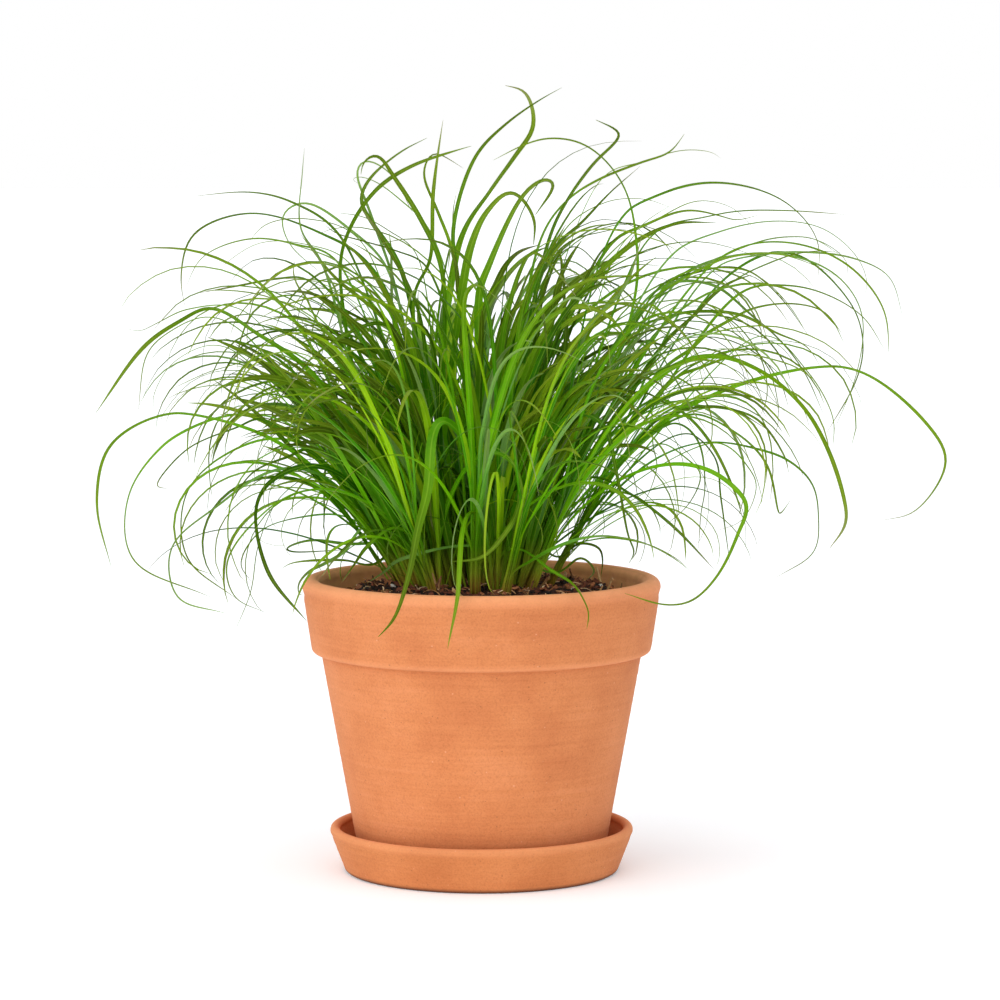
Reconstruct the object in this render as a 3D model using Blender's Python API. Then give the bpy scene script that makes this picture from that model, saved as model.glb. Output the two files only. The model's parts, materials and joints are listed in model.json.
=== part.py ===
"""A potted umbrella sedge: a terracotta pot on its saucer, soil, and leafy shoots of arching blades.

Lengths are in millimetres. Heights are above the surface that the saucer stands on. The pot's axis is Z.
"""

import math
from collections import namedtuple

import bmesh
import bpy
import numpy as np

MM = 0.001
SIDES = 40
TOUCH_GAP = 0.3

# Saucer
FOOT_RADIUS = 67.0
FOOT_CORNER = 2.5
SAUCER_RADIUS = 76.4
SAUCER_HEIGHT = 23.0
SAUCER_BEAD = 2.5
SAUCER_FLOOR = 7.0
SAUCER_FLOOR_RADIUS = 67.2
SAUCER_FILLET = 2.0

# Pot
POT_BASE = SAUCER_FLOOR + TOUCH_GAP
POT_BASE_RADIUS = 62.1
POT_CORNER = 1.5
POT_FLOOR = 8.7
POT_FLOOR_RADIUS = 55.5
DRAIN_RADIUS = 9.0
COLLAR_BOTTOM = 111.0
BODY_TOP_RADIUS = 80.4
COLLAR_BOTTOM_RADIUS = 85.4
COLLAR_CORNER = 2.6
STEP_ROUND = 1.0
POT_RADIUS = 90.0
POT_HEIGHT = 148.5
LIP_BEAD = 4.6

# Soil
SOIL_TOP = 140.5
SOIL_SWELL = 1.6
SOIL_SWELL_TURN = 0.11
SOIL_RINGS = (58.0, 28.0)

# Stems: they stand in a spiral over the crown, and lean out more towards its edge
SHOOTS = 17
CROWN_X = -4.0
CROWN_RADIUS = 43.0
GOLDEN_ANGLE = math.pi * (3 - math.sqrt(5))
FIRST_AZIMUTH = 0.5
CENTRE_LEAN = 2.0
EDGE_LEAN = 31.0
STEM_DEPTH = 19.0
STEM_LENGTH = 62.0
STEM_SIDES = 6
STEM_RADIUS = 3.4
STEM_ROOT_RADIUS = 2.7
STEM_TOP_RADIUS = 1.3

# Blades: a centre line is worked out in fine steps, and a solid takes every so many of them
FINE_STEPS = 60
DRAWN_STRIDE = 10
PLACED_STRIDE = 6
KEEL = 0.9
KEEL_AT_TIP = 0.65
WIDTH_ALONG = ((0.0, 0.25, 0.6, 1.0), (0.75, 1.0, 0.85, 0.3))
BLADE_GAP = 0.35

# Room that blades leave: round the pot's lip (inner radius, outer radius, top), over the soil, and all round
LIP_ROOM = (75.0, 94.0, 152.0)
SOIL_ROOM = 4.0
REACH_LOW = (-188.0, -186.0, 122.0)
REACH_HIGH = (222.0, 186.0, 384.0)

# Drawn blades: the share of each kind, and the least and most of its height up the stem, its spread from the
# stem in degrees, its length and its lean at the tip in degrees
SEED = 41
TRIES = 60
BLADES_PER_SHOOT = 12
LOW_SHARE = 0.2
TALL_SHARE = 0.3
LOW_BLADE = ((6, 20, 105, 110), (22, 42, 180, 165))
MIDDLE_BLADE = ((18, 4, 175, 95), (52, 18, 255, 150))
TALL_BLADE = ((36, 1, 170, 60), (56, 11, 235, 120))
LENGTH_AT_CENTRE = 1.06
LENGTH_AT_EDGE = 0.82
DROOP = (1.2, 2.1)
WANDER = 28.0
ROLL = 40.0
WIDTHS = (1.5, 2.1, 2.4, 3.6)
WIDTH_SHARES = (0.25, 0.35, 0.25, 0.15)

# Placed blades: where they leave their stem, as shares of its length, and how they are moved to find room
EYE = (9.3, -1960.0, 365.0)
EXIT_SHARES = (0.3, 0.4, 0.5, 0.6, 0.7)
EXIT_LENGTH = 20.0
EXIT_ALONG_STEM = 0.65
PLACED_ROLL = 35.0
DEPTH_SHIFTS = (0, 6, -6, 12, -12, 18, -18, 24, -24, 32, -32)

# Each placed blade shows in the outline from the front: its width, how far its tip lies behind the axis, and
# points from its root side to its tip, across and up, as the eye sees them in the plane through the axis
PLACED_BLADES = (
    (2.2, 40, ((-48, 299), (-78, 320), (-115, 331), (-144, 320), (-150, 298), (-148, 284))),
    (1.6, 70, ((-72, 307), (-92, 315), (-115, 318), (-139, 309), (-148, 293))),
    (1.8, -35, ((-79, 305), (-90, 323), (-89, 351), (-88, 363))),
    (2.0, 15, ((-70, 319), (-94, 336), (-114, 341), (-145, 339))),
    (4.0, -30, ((-79, 250), (-106, 267), (-135, 284), (-151, 277), (-168, 265), (-193, 231))),
    (3.2, -60, ((-98, 218), (-116, 224), (-156, 231), (-186, 215), (-193, 186), (-186, 153))),
    (1.8, 30, ((-98, 235), (-135, 229), (-159, 215), (-177, 189), (-175, 157), (-136, 138))),
    (2.0, -75, ((-91, 209), (-133, 184), (-156, 163), (-153, 138), (-129, 130))),
    (1.8, 60, ((-91, 222), (-124, 213), (-148, 191), (-148, 158), (-123, 137))),
    (1.5, 0, ((-82, 196), (-114, 176), (-128, 155), (-124, 138), (-108, 130))),
    (3.8, -45, ((-72, 206), (-98, 203), (-113, 186), (-108, 152), (-88, 126))),
    (3.2, 25, ((79, 221), (137, 249), (187, 253), (226, 222), (233, 206), (217, 181), (201, 177))),
    (1.8, 65, ((112, 300), (140, 310), (168, 311), (187, 308), (204, 299), (211, 277))),
    (1.6, -20, ((85, 320), (112, 329), (129, 332), (155, 332), (182, 330))),
    (2.0, -60, ((66, 325), (89, 340), (112, 346), (137, 343), (155, 334), (168, 317), (168, 297))),
    (2.2, 10, ((129, 291), (151, 295), (171, 291), (191, 279), (202, 262))),
    (1.8, 95, ((120, 300), (155, 311), (184, 287), (191, 267), (188, 248), (173, 221))),
    (4.4, -70, ((100, 262), (137, 254), (160, 236), (173, 215), (182, 188), (183, 175), (175, 163))),
    (1.8, 45, ((100, 218), (138, 213), (154, 207), (166, 195), (169, 179), (167, 161), (148, 148))),
    (2.8, -90, ((100, 210), (133, 186), (129, 170), (119, 149), (106, 136), (92, 134), (72, 140))),
    (3.2, -75, ((50, 202), (74, 191), (95, 175), (117, 152))),
    (2.8, 20, ((-11, 297), (-14, 322), (-3, 359), (12, 375), (29, 387), (40, 393))),
    (2.2, 45, ((-11, 317), (4, 342), (17, 360), (26, 374), (22, 391), (12, 394))),
    (2.0, -15, ((2, 342), (22, 369), (49, 366), (73, 344), (76, 330))),
    (2.2, -30, ((34, 317), (42, 335), (56, 355), (68, 367), (69, 371), (57, 377))),
    (2.6, -45, ((-1, 289), (4, 304), (21, 339), (31, 347), (36, 345), (27, 330))),
    (3.0, 5, ((-34, 290), (-26, 307), (-24, 340), (-19, 377))),
    (2.0, 30, ((-42, 290), (-55, 330), (-62, 352), (-58, 357), (-45, 350), (-34, 330))),
    (5.0, -92, ((-20, 236), (-24, 228), (-27, 193), (-32, 174), (-37, 150), (-44, 128), (-52, 118))),
    (2.8, -122, ((-6, 186), (-10, 172), (-11, 156), (-12, 137), (-17, 110))),
    (2.2, -84, ((-8, 206), (1, 214), (12, 210), (19, 197), (18, 182), (11, 169), (0, 158), (-15, 156))),
    (1.8, -96, ((22, 178), (32, 169), (47, 147), (52, 121))),
)

# Materials: base colour and roughness
TERRACOTTA = ((0.62, 0.26, 0.12, 1.0), 0.85)
SAUCER_TERRACOTTA = ((0.55, 0.22, 0.10, 1.0), 0.85)
POTTING_SOIL = ((0.06, 0.028, 0.018, 1.0), 0.95)
SEDGE_LEAF = ((0.12, 0.32, 0.03, 1.0), 0.45)

# A stem has its foot on the soil, its lean, and unit vectors along it, level across it and square to both
Stem = namedtuple("Stem", "foot lean along level square")
Blade = namedtuple("Blade", "points width roll owner")


def material(name, look):
    """A Principled BSDF material in one colour."""
    colour, roughness = look
    finish = bpy.data.materials.new(name)
    finish.use_nodes = True
    shader = finish.node_tree.nodes["Principled BSDF"]
    shader.inputs["Base Color"].default_value = colour
    shader.inputs["Roughness"].default_value = roughness
    shader.inputs["Metallic"].default_value = 0.0
    finish.diffuse_color = colour
    return finish


def new_object(name, mesh, finish, collection=None):
    """An object for a mesh, in one material, linked to the scene or to a collection."""
    mesh.materials.append(finish)
    piece = bpy.data.objects.new(name, mesh)
    (collection or bpy.context.scene.collection).objects.link(piece)
    return piece


def arc(centre, radius, start, end, steps):
    """Points on a round stretch of an outline, between two angles in degrees."""
    angles = np.radians(np.linspace(start, end, steps + 1))
    return [(centre[0] + radius * math.cos(a), centre[1] + radius * math.sin(a)) for a in angles]


def turned(name, outline, finish):
    """A solid of revolution. An open outline gets a flat face at each end that lies off the axis."""
    closed = outline[0] == outline[-1]
    points = outline[:-1] if closed else outline
    build = bmesh.new()
    verts = [build.verts.new((r * MM, 0.0, z * MM)) for r, z in points]
    edges = [build.edges.new(pair) for pair in zip(verts, verts[1:])]
    if closed:
        edges.append(build.edges.new((verts[-1], verts[0])))
    bmesh.ops.spin(
        build,
        geom=verts + edges,
        cent=(0.0, 0.0, 0.0),
        axis=(0.0, 0.0, 1.0),
        angle=math.tau,
        steps=SIDES,
        use_merge=True,
    )
    bmesh.ops.remove_doubles(build, verts=build.verts[:], dist=1e-7)
    bmesh.ops.holes_fill(build, edges=[e for e in build.edges if e.is_boundary], sides=0)
    bmesh.ops.recalc_face_normals(build, faces=build.faces[:])
    mesh = bpy.data.meshes.new(name)
    build.to_mesh(mesh)
    build.free()
    mesh.shade_smooth()
    mesh.set_sharp_from_angle(angle=math.radians(35))
    return new_object(name, mesh, finish)


def saucer(finish):
    """The dish: a flat foot, a wall that leans out, a rounded rim and a flat floor."""
    bead = (SAUCER_RADIUS - SAUCER_BEAD, SAUCER_HEIGHT - SAUCER_BEAD)
    corner = (FOOT_RADIUS, FOOT_CORNER)
    fillet = (SAUCER_FLOOR_RADIUS - SAUCER_FILLET, SAUCER_FLOOR + SAUCER_FILLET)
    outline = arc(corner, FOOT_CORNER, -90, -20, 2)
    outline += arc(bead, SAUCER_BEAD, -20, 200, 5)
    outline += arc(fillet, SAUCER_FILLET, -20, -90, 2)
    return turned("saucer", outline, finish)


def pot_wall_radius(height):
    """Inner radius of the pot at a height: a cone from its floor to its lip."""
    floor = POT_BASE + POT_FLOOR
    lip_radius = POT_RADIUS - 2 * LIP_BEAD
    share = (height - floor) / (POT_HEIGHT - LIP_BEAD - floor)
    return POT_FLOOR_RADIUS + (lip_radius - POT_FLOOR_RADIUS) * share


def pot(finish):
    """The flower pot: a tapered body, a thicker collar with a beaded lip, and a drain hole in its floor."""
    floor = POT_BASE + POT_FLOOR
    lip = (POT_RADIUS - LIP_BEAD, POT_HEIGHT - LIP_BEAD)
    base = (POT_BASE_RADIUS - POT_CORNER, POT_BASE + POT_CORNER)
    outline = [(DRAIN_RADIUS, POT_BASE)]
    outline += arc(base, POT_CORNER, -90, -10, 2)
    outline += arc((BODY_TOP_RADIUS + STEP_ROUND, COLLAR_BOTTOM - STEP_ROUND), STEP_ROUND, 180, 90, 2)
    corner = (COLLAR_BOTTOM_RADIUS - COLLAR_CORNER, COLLAR_BOTTOM + COLLAR_CORNER)
    outline += arc(corner, COLLAR_CORNER, -90, -8, 2)
    outline += arc(lip, LIP_BEAD, -8, 188, 6)
    outline += [(POT_FLOOR_RADIUS, floor), (DRAIN_RADIUS, floor), (DRAIN_RADIUS, POT_BASE)]
    return turned("pot", outline, finish)


def soil(finish, stems):
    """The potting soil: it fills the pot, swells slightly, and has a plain hole for each stem."""
    bottom = POT_BASE + POT_FLOOR + TOUCH_GAP
    outline = [(pot_wall_radius(bottom) - TOUCH_GAP, bottom)]
    outline += [(pot_wall_radius(SOIL_TOP) - TOUCH_GAP, SOIL_TOP)]
    outline += [(radius, SOIL_TOP) for radius in SOIL_RINGS]
    outline += [(0.0, SOIL_TOP)]
    piece = turned("soil", outline, finish)
    for vertex in piece.data.vertices:
        x, y, z = vertex.co / MM
        if z > bottom + TOUCH_GAP and math.hypot(x, y) < SOIL_RINGS[0] + TOUCH_GAP:
            vertex.co.z += SOIL_SWELL * math.sin(SOIL_SWELL_TURN * x + 1) * math.cos(SOIL_SWELL_TURN * y) * MM
    holes = linked_collection("stem_holes")
    for number, stem in enumerate(stems):
        hole = stem_solid(f"hole_{number + 1:02d}", stem, finish, TOUCH_GAP, holes)
        hole.hide_render = True
        hole.display_type = "WIRE"
    join(piece, holes, "DIFFERENCE", "EXACT")


def linked_collection(name):
    """A new collection in the scene, for the objects of one Boolean."""
    collection = bpy.data.collections.new(name)
    bpy.context.scene.collection.children.link(collection)
    return collection


def join(piece, collection, operation, solver):
    """One Boolean of a piece with all of a collection, applied, after which the collection is removed."""
    step = piece.modifiers.new("join", "BOOLEAN")
    step.operation = operation
    step.solver = solver
    step.operand_type = "COLLECTION"
    step.collection = collection
    depsgraph = bpy.context.evaluated_depsgraph_get()
    mesh = bpy.data.meshes.new_from_object(piece.evaluated_get(depsgraph))
    piece.modifiers.clear()
    piece.data = mesh
    for operand in list(collection.objects):
        bpy.data.objects.remove(operand, do_unlink=True)
    bpy.data.collections.remove(collection)


def unit(vector):
    """A vector, or each row of an array of them, at length 1."""
    return vector / np.linalg.norm(vector, axis=-1, keepdims=True)


def direction(azimuth, lean):
    """Unit vector that leans from the vertical towards an azimuth."""
    return np.array([math.sin(lean) * math.cos(azimuth), math.sin(lean) * math.sin(azimuth), math.cos(lean)])


def spiral_of_stems():
    """The stems: evenly spread over the crown, each a golden angle on from the last."""
    stems = []
    for number in range(SHOOTS):
        share = math.sqrt((number + 0.5) / SHOOTS)
        azimuth = FIRST_AZIMUTH + number * GOLDEN_ANGLE
        foot = np.array([CROWN_X, 0.0, SOIL_TOP]) + CROWN_RADIUS * share * direction(azimuth, math.pi / 2)
        lean = math.radians(CENTRE_LEAN + (EDGE_LEAN - CENTRE_LEAN) * share)
        along = direction(azimuth, lean)
        level = direction(azimuth + math.pi / 2, math.pi / 2)
        stems.append(Stem(foot, lean, along, level, np.cross(level, along)))
    return stems


def stem_solid(name, stem, finish, grow, collection=None):
    """The sheathed stem, from below the soil to where its last blades leave it. A hole is grown by a gap."""
    rings = ((-STEM_DEPTH - grow, STEM_ROOT_RADIUS), (0.0, STEM_RADIUS), (STEM_LENGTH, STEM_TOP_RADIUS))
    angles = [math.tau * i / STEM_SIDES for i in range(STEM_SIDES)]
    build = bmesh.new()
    loops = []
    for height, radius in rings:
        centre = stem.foot + stem.along * height
        corners = [math.cos(a) * stem.level + math.sin(a) * stem.square for a in angles]
        loops.append([build.verts.new((centre + (radius + grow) * corner) * MM) for corner in corners])
    for low, high in zip(loops, loops[1:]):
        for i in range(STEM_SIDES):
            j = (i + 1) % STEM_SIDES
            build.faces.new((low[i], low[j], high[j], high[i]))
    build.faces.new(loops[0])
    build.faces.new(loops[-1])
    return closed_object(name, build, finish, collection)


def closed_object(name, build, finish, collection):
    """An object from a closed bmesh, with its faces pointing out."""
    bmesh.ops.recalc_face_normals(build, faces=build.faces[:])
    mesh = bpy.data.meshes.new(name)
    build.to_mesh(mesh)
    build.free()
    return new_object(name, mesh, finish, collection)


def arching(start, heading, length, end_lean, droop, wander):
    """Centre line of a blade that tips over more and more steeply towards its end."""
    lean = math.acos(min(1.0, heading[2]))
    share = (np.arange(FINE_STEPS) + 0.5) / FINE_STEPS
    tilt = lean + (end_lean - lean) * share**droop
    azimuth = math.atan2(heading[1], heading[0]) + wander * share**2
    step = np.stack([np.sin(tilt) * np.cos(azimuth), np.sin(tilt) * np.sin(azimuth), np.cos(tilt)], axis=1)
    return np.vstack([start, start + np.cumsum(step * length / FINE_STEPS, axis=0)])


def through(points):
    """A smooth line through points (a Catmull-Rom spline), split evenly along its length."""
    points = np.asarray(points, float)
    padded = np.vstack([2 * points[0] - points[1], points, 2 * points[-1] - points[-2]])
    share = np.linspace(0, 1, FINE_STEPS, endpoint=False)[:, None]
    runs = []
    for a, b, c, d in zip(padded, padded[1:], padded[2:], padded[3:]):
        straight = b + share * (c - a) / 2
        square = share**2 * (2 * a - 5 * b + 4 * c - d) / 2
        cube = share**3 * (3 * b - a - 3 * c + d) / 2
        runs.append(straight + square + cube)
    line = np.vstack(runs + [points[-1:]])
    walked = np.concatenate([[0], np.cumsum(np.linalg.norm(np.diff(line, axis=0), axis=1))])
    even = np.linspace(0, walked[-1], FINE_STEPS + 1)
    return np.stack([np.interp(even, walked, line[:, i]) for i in range(3)], axis=1)


def seen_from_front(across, up, depth):
    """The point at a depth behind the axis that the eye sees at a place in the plane through the axis."""
    scale = 1 - depth / EYE[1]
    return (EYE[0] + (across - EYE[0]) * scale, depth, EYE[2] + (up - EYE[2]) * scale)


def nearest_stem(stems, first, second):
    """Number of the stem whose blades most easily run on through two points."""
    ahead = unit(second - first)
    turns = []
    for stem in stems:
        run = unit(first - stem.foot - stem.along * STEM_LENGTH / 2)
        turns.append(3 * (1 - run @ stem.along) + 1 - run @ ahead)
    return int(np.argmin(turns))


def placed_line(stem, depth, points, exit_share):
    """Centre line of a placed blade, from inside its stem to its tip, which lies depth behind the axis."""
    start = stem.foot + stem.along * STEM_LENGTH * exit_share
    first = np.array([points[0][0], depth / 4, points[0][1]])
    leaving = EXIT_ALONG_STEM * stem.along + (1 - EXIT_ALONG_STEM) * unit(first - start)
    shares = np.linspace(1 / 3, 1, len(points))
    seen = [seen_from_front(x, z, start[1] + (depth - start[1]) * s) for s, (x, z) in zip(shares, points)]
    return through([start, start + EXIT_LENGTH * leaving] + seen)


def drawn_line(draw, stem):
    """Centre line of a blade drawn at random round its stem."""
    kind = draw.random()
    ranges = LOW_BLADE if kind < LOW_SHARE else TALL_BLADE if kind > 1 - TALL_SHARE else MIDDLE_BLADE
    height, spread, length, end_lean = draw.uniform(*ranges)
    around = draw.uniform(0, math.tau)
    outward = math.cos(around) * stem.square + math.sin(around) * stem.level
    spread = math.radians(spread)
    return arching(
        stem.foot + stem.along * height,
        math.cos(spread) * stem.along + math.sin(spread) * outward,
        length * np.interp(stem.lean, (0, math.radians(EDGE_LEAN)), (LENGTH_AT_CENTRE, LENGTH_AT_EDGE)),
        math.radians(end_lean),
        draw.uniform(*DROOP),
        math.radians(draw.uniform(-WANDER, WANDER)),
    )


def closest(starts, ends, other_starts, other_ends):
    """Distance between each straight run of one set and each of another."""
    p, q = starts[:, None], ends[:, None]
    r, s = other_starts[None], other_ends[None]
    u, v, w = q - p, s - r, p - r
    a, b, e = (u * u).sum(-1), (u * v).sum(-1), (v * v).sum(-1)
    c, f = (u * w).sum(-1), (v * w).sum(-1)
    first = np.clip((b * f - c * e) / np.maximum(a * e - b * b, 1e-9), 0, 1)
    second = np.clip((b * first + f) / e, 0, 1)
    first = np.clip((b * second - c) / a, 0, 1)
    return np.linalg.norm(w + u * first[..., None] - v * second[..., None], axis=-1)


def clear_of_pot(line):
    """Whether a blade stays off the pot's lip and the soil."""
    inner, outer, top = LIP_ROOM
    radius = np.hypot(line[:, 0], line[:, 1])
    at_lip = (line[:, 2] < top) & (radius > inner) & (radius < outer)
    in_soil = (line[:, 2] < SOIL_TOP + SOIL_ROOM) & (radius < outer)
    return not (at_lip.any() or in_soil.any())


def within_reach(line):
    """Whether a drawn blade keeps inside the reach that the placed ones set."""
    return (line >= REACH_LOW).all() and (line <= REACH_HIGH).all()


class Thicket:
    """The stems and blades so far, as straight runs, which tells whether one more blade has room."""

    def __init__(self, stems):
        self.starts = np.array([stem.foot - stem.along * STEM_DEPTH for stem in stems])
        self.ends = np.array([stem.foot + stem.along * STEM_LENGTH for stem in stems])
        self.radii = np.full(SHOOTS, STEM_RADIUS)
        self.owners = np.arange(SHOOTS)
        self.blades = []

    def has_room(self, blade):
        """A blade crosses nothing of another shoot, and past its lowest third no blade of its own."""
        gaps = closest(blade.points[:-1], blade.points[1:], self.starts, self.ends)
        gaps -= self.radii + blade.width / 2 + BLADE_GAP
        own = self.owners == blade.owner
        own_blades = own & (np.arange(len(own)) >= SHOOTS)
        return (gaps[:, ~own] > 0).all() and (gaps[len(gaps) // 3 :, own_blades] > 0).all()

    def add(self, blade):
        """Takes a blade in."""
        runs = len(blade.points) - 1
        self.starts = np.vstack([self.starts, blade.points[:-1]])
        self.ends = np.vstack([self.ends, blade.points[1:]])
        self.radii = np.append(self.radii, np.full(runs, blade.width / 2))
        self.owners = np.append(self.owners, np.full(runs, blade.owner))
        self.blades.append(blade)


def place_blades(thicket, stems):
    """Adds the placed blades, each at the first depth that leaves it room."""
    for order, (width, depth, points) in enumerate(PLACED_BLADES):
        first, second = (np.array([x, depth / 4, z]) for x, z in points[:2])
        owner = nearest_stem(stems, first, second)
        exit_share = EXIT_SHARES[order % len(EXIT_SHARES)]
        for shift in DEPTH_SHIFTS:
            line = placed_line(stems[owner], depth + shift, points, exit_share)
            blade = Blade(line[::PLACED_STRIDE], width, math.radians(PLACED_ROLL), owner)
            if clear_of_pot(line) and thicket.has_room(blade):
                thicket.add(blade)
                break


def draw_blades(thicket, stems):
    """Adds the drawn blades, one for each stem in turn, each drawn again until it has room."""
    for turn in range(BLADES_PER_SHOOT):
        for owner, stem in enumerate(stems):
            draw = np.random.default_rng((SEED, turn, owner))
            for _ in range(TRIES):
                line = drawn_line(draw, stem)
                width = draw.choice(WIDTHS, p=WIDTH_SHARES)
                roll = math.radians(draw.uniform(-ROLL, ROLL))
                blade = Blade(line[::DRAWN_STRIDE], width, roll, owner)
                if within_reach(line) and clear_of_pot(line) and thicket.has_room(blade):
                    thicket.add(blade)
                    break


def blade_solid(name, blade, finish, collection):
    """A tapered blade with a keel below: three-sided, pointed, and split alike along all its sides."""
    run = blade.points[-1] - blade.points[0]
    level = unit(np.array([-run[1], run[0], 0.0]))
    tangents = unit(np.gradient(blade.points, axis=0))
    share = np.linspace(0, 1, len(blade.points))
    halves = blade.width / 2 * np.interp(share, *WIDTH_ALONG)
    keels = KEEL + (KEEL_AT_TIP - KEEL) * share
    build = bmesh.new()
    rings = []
    for point, tangent, half, keel in zip(blade.points[:-1], tangents, halves, keels):
        side = unit(level - (level @ tangent) * tangent)
        under = np.cross(side, tangent)
        edge = math.cos(blade.roll) * side + math.sin(blade.roll) * under
        down = math.cos(blade.roll) * under - math.sin(blade.roll) * side
        corners = (point - edge * half, point + edge * half, point + down * keel)
        rings.append([build.verts.new(corner * MM) for corner in corners])
    tip = build.verts.new(blade.points[-1] * MM)
    for low, high in zip(rings, rings[1:]):
        for i in range(3):
            j = (i + 1) % 3
            build.faces.new((low[i], low[j], high[j]))
            build.faces.new((low[i], high[j], high[i]))
    for i in range(3):
        build.faces.new((rings[-1][i], rings[-1][(i + 1) % 3], tip))
    build.faces.new(rings[0])
    return closed_object(name, build, finish, collection)


def shoots(finish, stems):
    """Each leafy shoot: its stem and its blades, fused into one solid."""
    thicket = Thicket(stems)
    place_blades(thicket, stems)
    draw_blades(thicket, stems)
    for number, stem in enumerate(stems):
        piece = stem_solid(f"shoot_{number + 1:02d}", stem, finish, 0.0)
        leaves = linked_collection(f"blades_{number + 1:02d}")
        own = [blade for blade in thicket.blades if blade.owner == number]
        for i, blade in enumerate(own):
            blade_solid(f"blade_{number + 1:02d}_{i + 1:02d}", blade, finish, leaves)
        join(piece, leaves, "UNION", "MANIFOLD")


def main():
    """Clears the scene and builds every piece."""
    for piece in list(bpy.data.objects):
        bpy.data.objects.remove(piece, do_unlink=True)
    stems = spiral_of_stems()
    saucer(material("saucer_terracotta", SAUCER_TERRACOTTA))
    pot(material("terracotta", TERRACOTTA))
    soil(material("potting_soil", POTTING_SOIL), stems)
    shoots(material("sedge_leaf", SEDGE_LEAF), stems)


main()
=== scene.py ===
"""Looks of a potted umbrella sedge: fired clay, potting soil and a fountain of keeled green blades.

Lengths are in millimetres until a mesh is made. Heights are above the floor, and the pot's axis is Z.
"""

import json
import math
from collections import namedtuple
from functools import partial

import bmesh
import bpy
import numpy as np
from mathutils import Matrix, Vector, noise

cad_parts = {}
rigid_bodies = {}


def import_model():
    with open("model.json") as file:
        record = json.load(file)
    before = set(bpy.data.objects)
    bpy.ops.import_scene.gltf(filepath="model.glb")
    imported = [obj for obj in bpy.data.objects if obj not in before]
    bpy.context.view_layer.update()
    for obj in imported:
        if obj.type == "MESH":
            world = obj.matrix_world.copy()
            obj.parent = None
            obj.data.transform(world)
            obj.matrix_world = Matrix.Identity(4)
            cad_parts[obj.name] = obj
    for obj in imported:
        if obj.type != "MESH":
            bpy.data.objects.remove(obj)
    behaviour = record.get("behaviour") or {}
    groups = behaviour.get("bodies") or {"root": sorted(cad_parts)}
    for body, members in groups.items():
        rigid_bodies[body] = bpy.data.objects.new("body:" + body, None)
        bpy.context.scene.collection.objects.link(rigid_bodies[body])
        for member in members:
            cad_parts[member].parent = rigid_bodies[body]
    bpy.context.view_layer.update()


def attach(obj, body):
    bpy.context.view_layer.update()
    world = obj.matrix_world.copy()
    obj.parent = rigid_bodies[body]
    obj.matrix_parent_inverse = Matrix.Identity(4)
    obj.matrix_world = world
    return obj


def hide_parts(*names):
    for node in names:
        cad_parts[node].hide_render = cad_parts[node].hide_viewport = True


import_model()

MM = 0.001

# Saucer
FOOT_RADIUS = 67.0
FOOT_CORNER = 2.5
SAUCER_RADIUS = 76.4
SAUCER_HEIGHT = 23.0
SAUCER_BEAD = 2.5
SAUCER_FLOOR = 7.0
SAUCER_FLOOR_RADIUS = 67.2
SAUCER_FILLET = 2.0

# Pot
TOUCH_GAP = 0.3
POT_BASE = SAUCER_FLOOR + TOUCH_GAP
POT_BASE_RADIUS = 62.1
POT_CORNER = 1.5
POT_FLOOR = 8.7
POT_FLOOR_RADIUS = 55.5
DRAIN_RADIUS = 9.0
COLLAR_BOTTOM = 111.0
BODY_TOP_RADIUS = 80.4
COLLAR_BOTTOM_RADIUS = 85.4
COLLAR_CORNER = 2.6
STEP_ROUND = 1.0
POT_RADIUS = 90.0
POT_HEIGHT = 148.5
LIP_BEAD = 4.6

# Turning: sides of a turned piece, the longest step along its outline, and the marks that the maker left.
# Ridges come and go: their usual share, and how fast it varies round the piece and, in millimetres, up it
SIDES = 192
OUTLINE_STEP = 1.6
OUT_OF_ROUND = 0.18
OVAL_TURN = 0.6
OVAL_PITCH = 60.0
RIDGE_HEIGHT = 0.05
RIDGE_SPACINGS = (2.3, 3.7, 7.1)
RIDGE_PHASE = 1.7
RIDGE_CHANGE = (0.55, 1.4, 24.0)
UNMARKED_RIM = 1.0
SAUCER_FLARE = 0.35

# Level bands: the height of the middle, how far it reaches to either side, and its depth or strength
LIP_GROOVE = (140.3, 1.9, 0.5)
SAUCER_GROOVE = (18.2, 1.1, 0.22)
COLLAR_WEAR = (COLLAR_BOTTOM + 1.0, 1.4, 0.35)

# Wear of a rim: its strength at the top, and how far down it fades out. On the pot's lip the wear is
# partly a painted highlight. The inner wall is painted paler all over, as painted light against the
# plant's shade
SAUCER_WEAR = (0.35, 5.0)
LIP_WEAR_AND_HIGHLIGHT = (0.75, 7.0)
INNER_WALL_PAINTED_LIGHT = 1.1
INNER_WALL_ROOM = 1.0

# Creases: an edge that is steeper than this, in degrees, stays sharp
CLAY_CREASE = 50.0
SOIL_CREASE = 60.0
LITTER_CREASE = 45.0
BLADE_CREASE = 40.0

# Soil: its swell, the pitch and height of its lumps, and where its fall towards the wall starts and ends and
# how deep it is
SOIL_TOP = 140.5
SOIL_SWELL = 1.6
SOIL_SWELL_TURN = 0.11
SOIL_RADIUS = 78.6
SOIL_RINGS = 56
SOIL_LUMPS = ((11.0, 1.3), (4.0, 0.9), (1.7, 0.45))
SOIL_FALL = (54.0, 76.0, 8.0)
SOIL_MOUND = 3.0

# Stems: they stand in a spiral over the crown, and lean out more towards its edge
SHOOTS = 17
CROWN_X = -4.0
CROWN_RADIUS = 43.0
GOLDEN_ANGLE = math.pi * (3 - math.sqrt(5))
FIRST_AZIMUTH = 0.5
CENTRE_LEAN = 2.0
EDGE_LEAN = 31.0
STEM_DEPTH = 19.0
STEM_LENGTH = 62.0
STEM_RADIUS = 3.4

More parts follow.
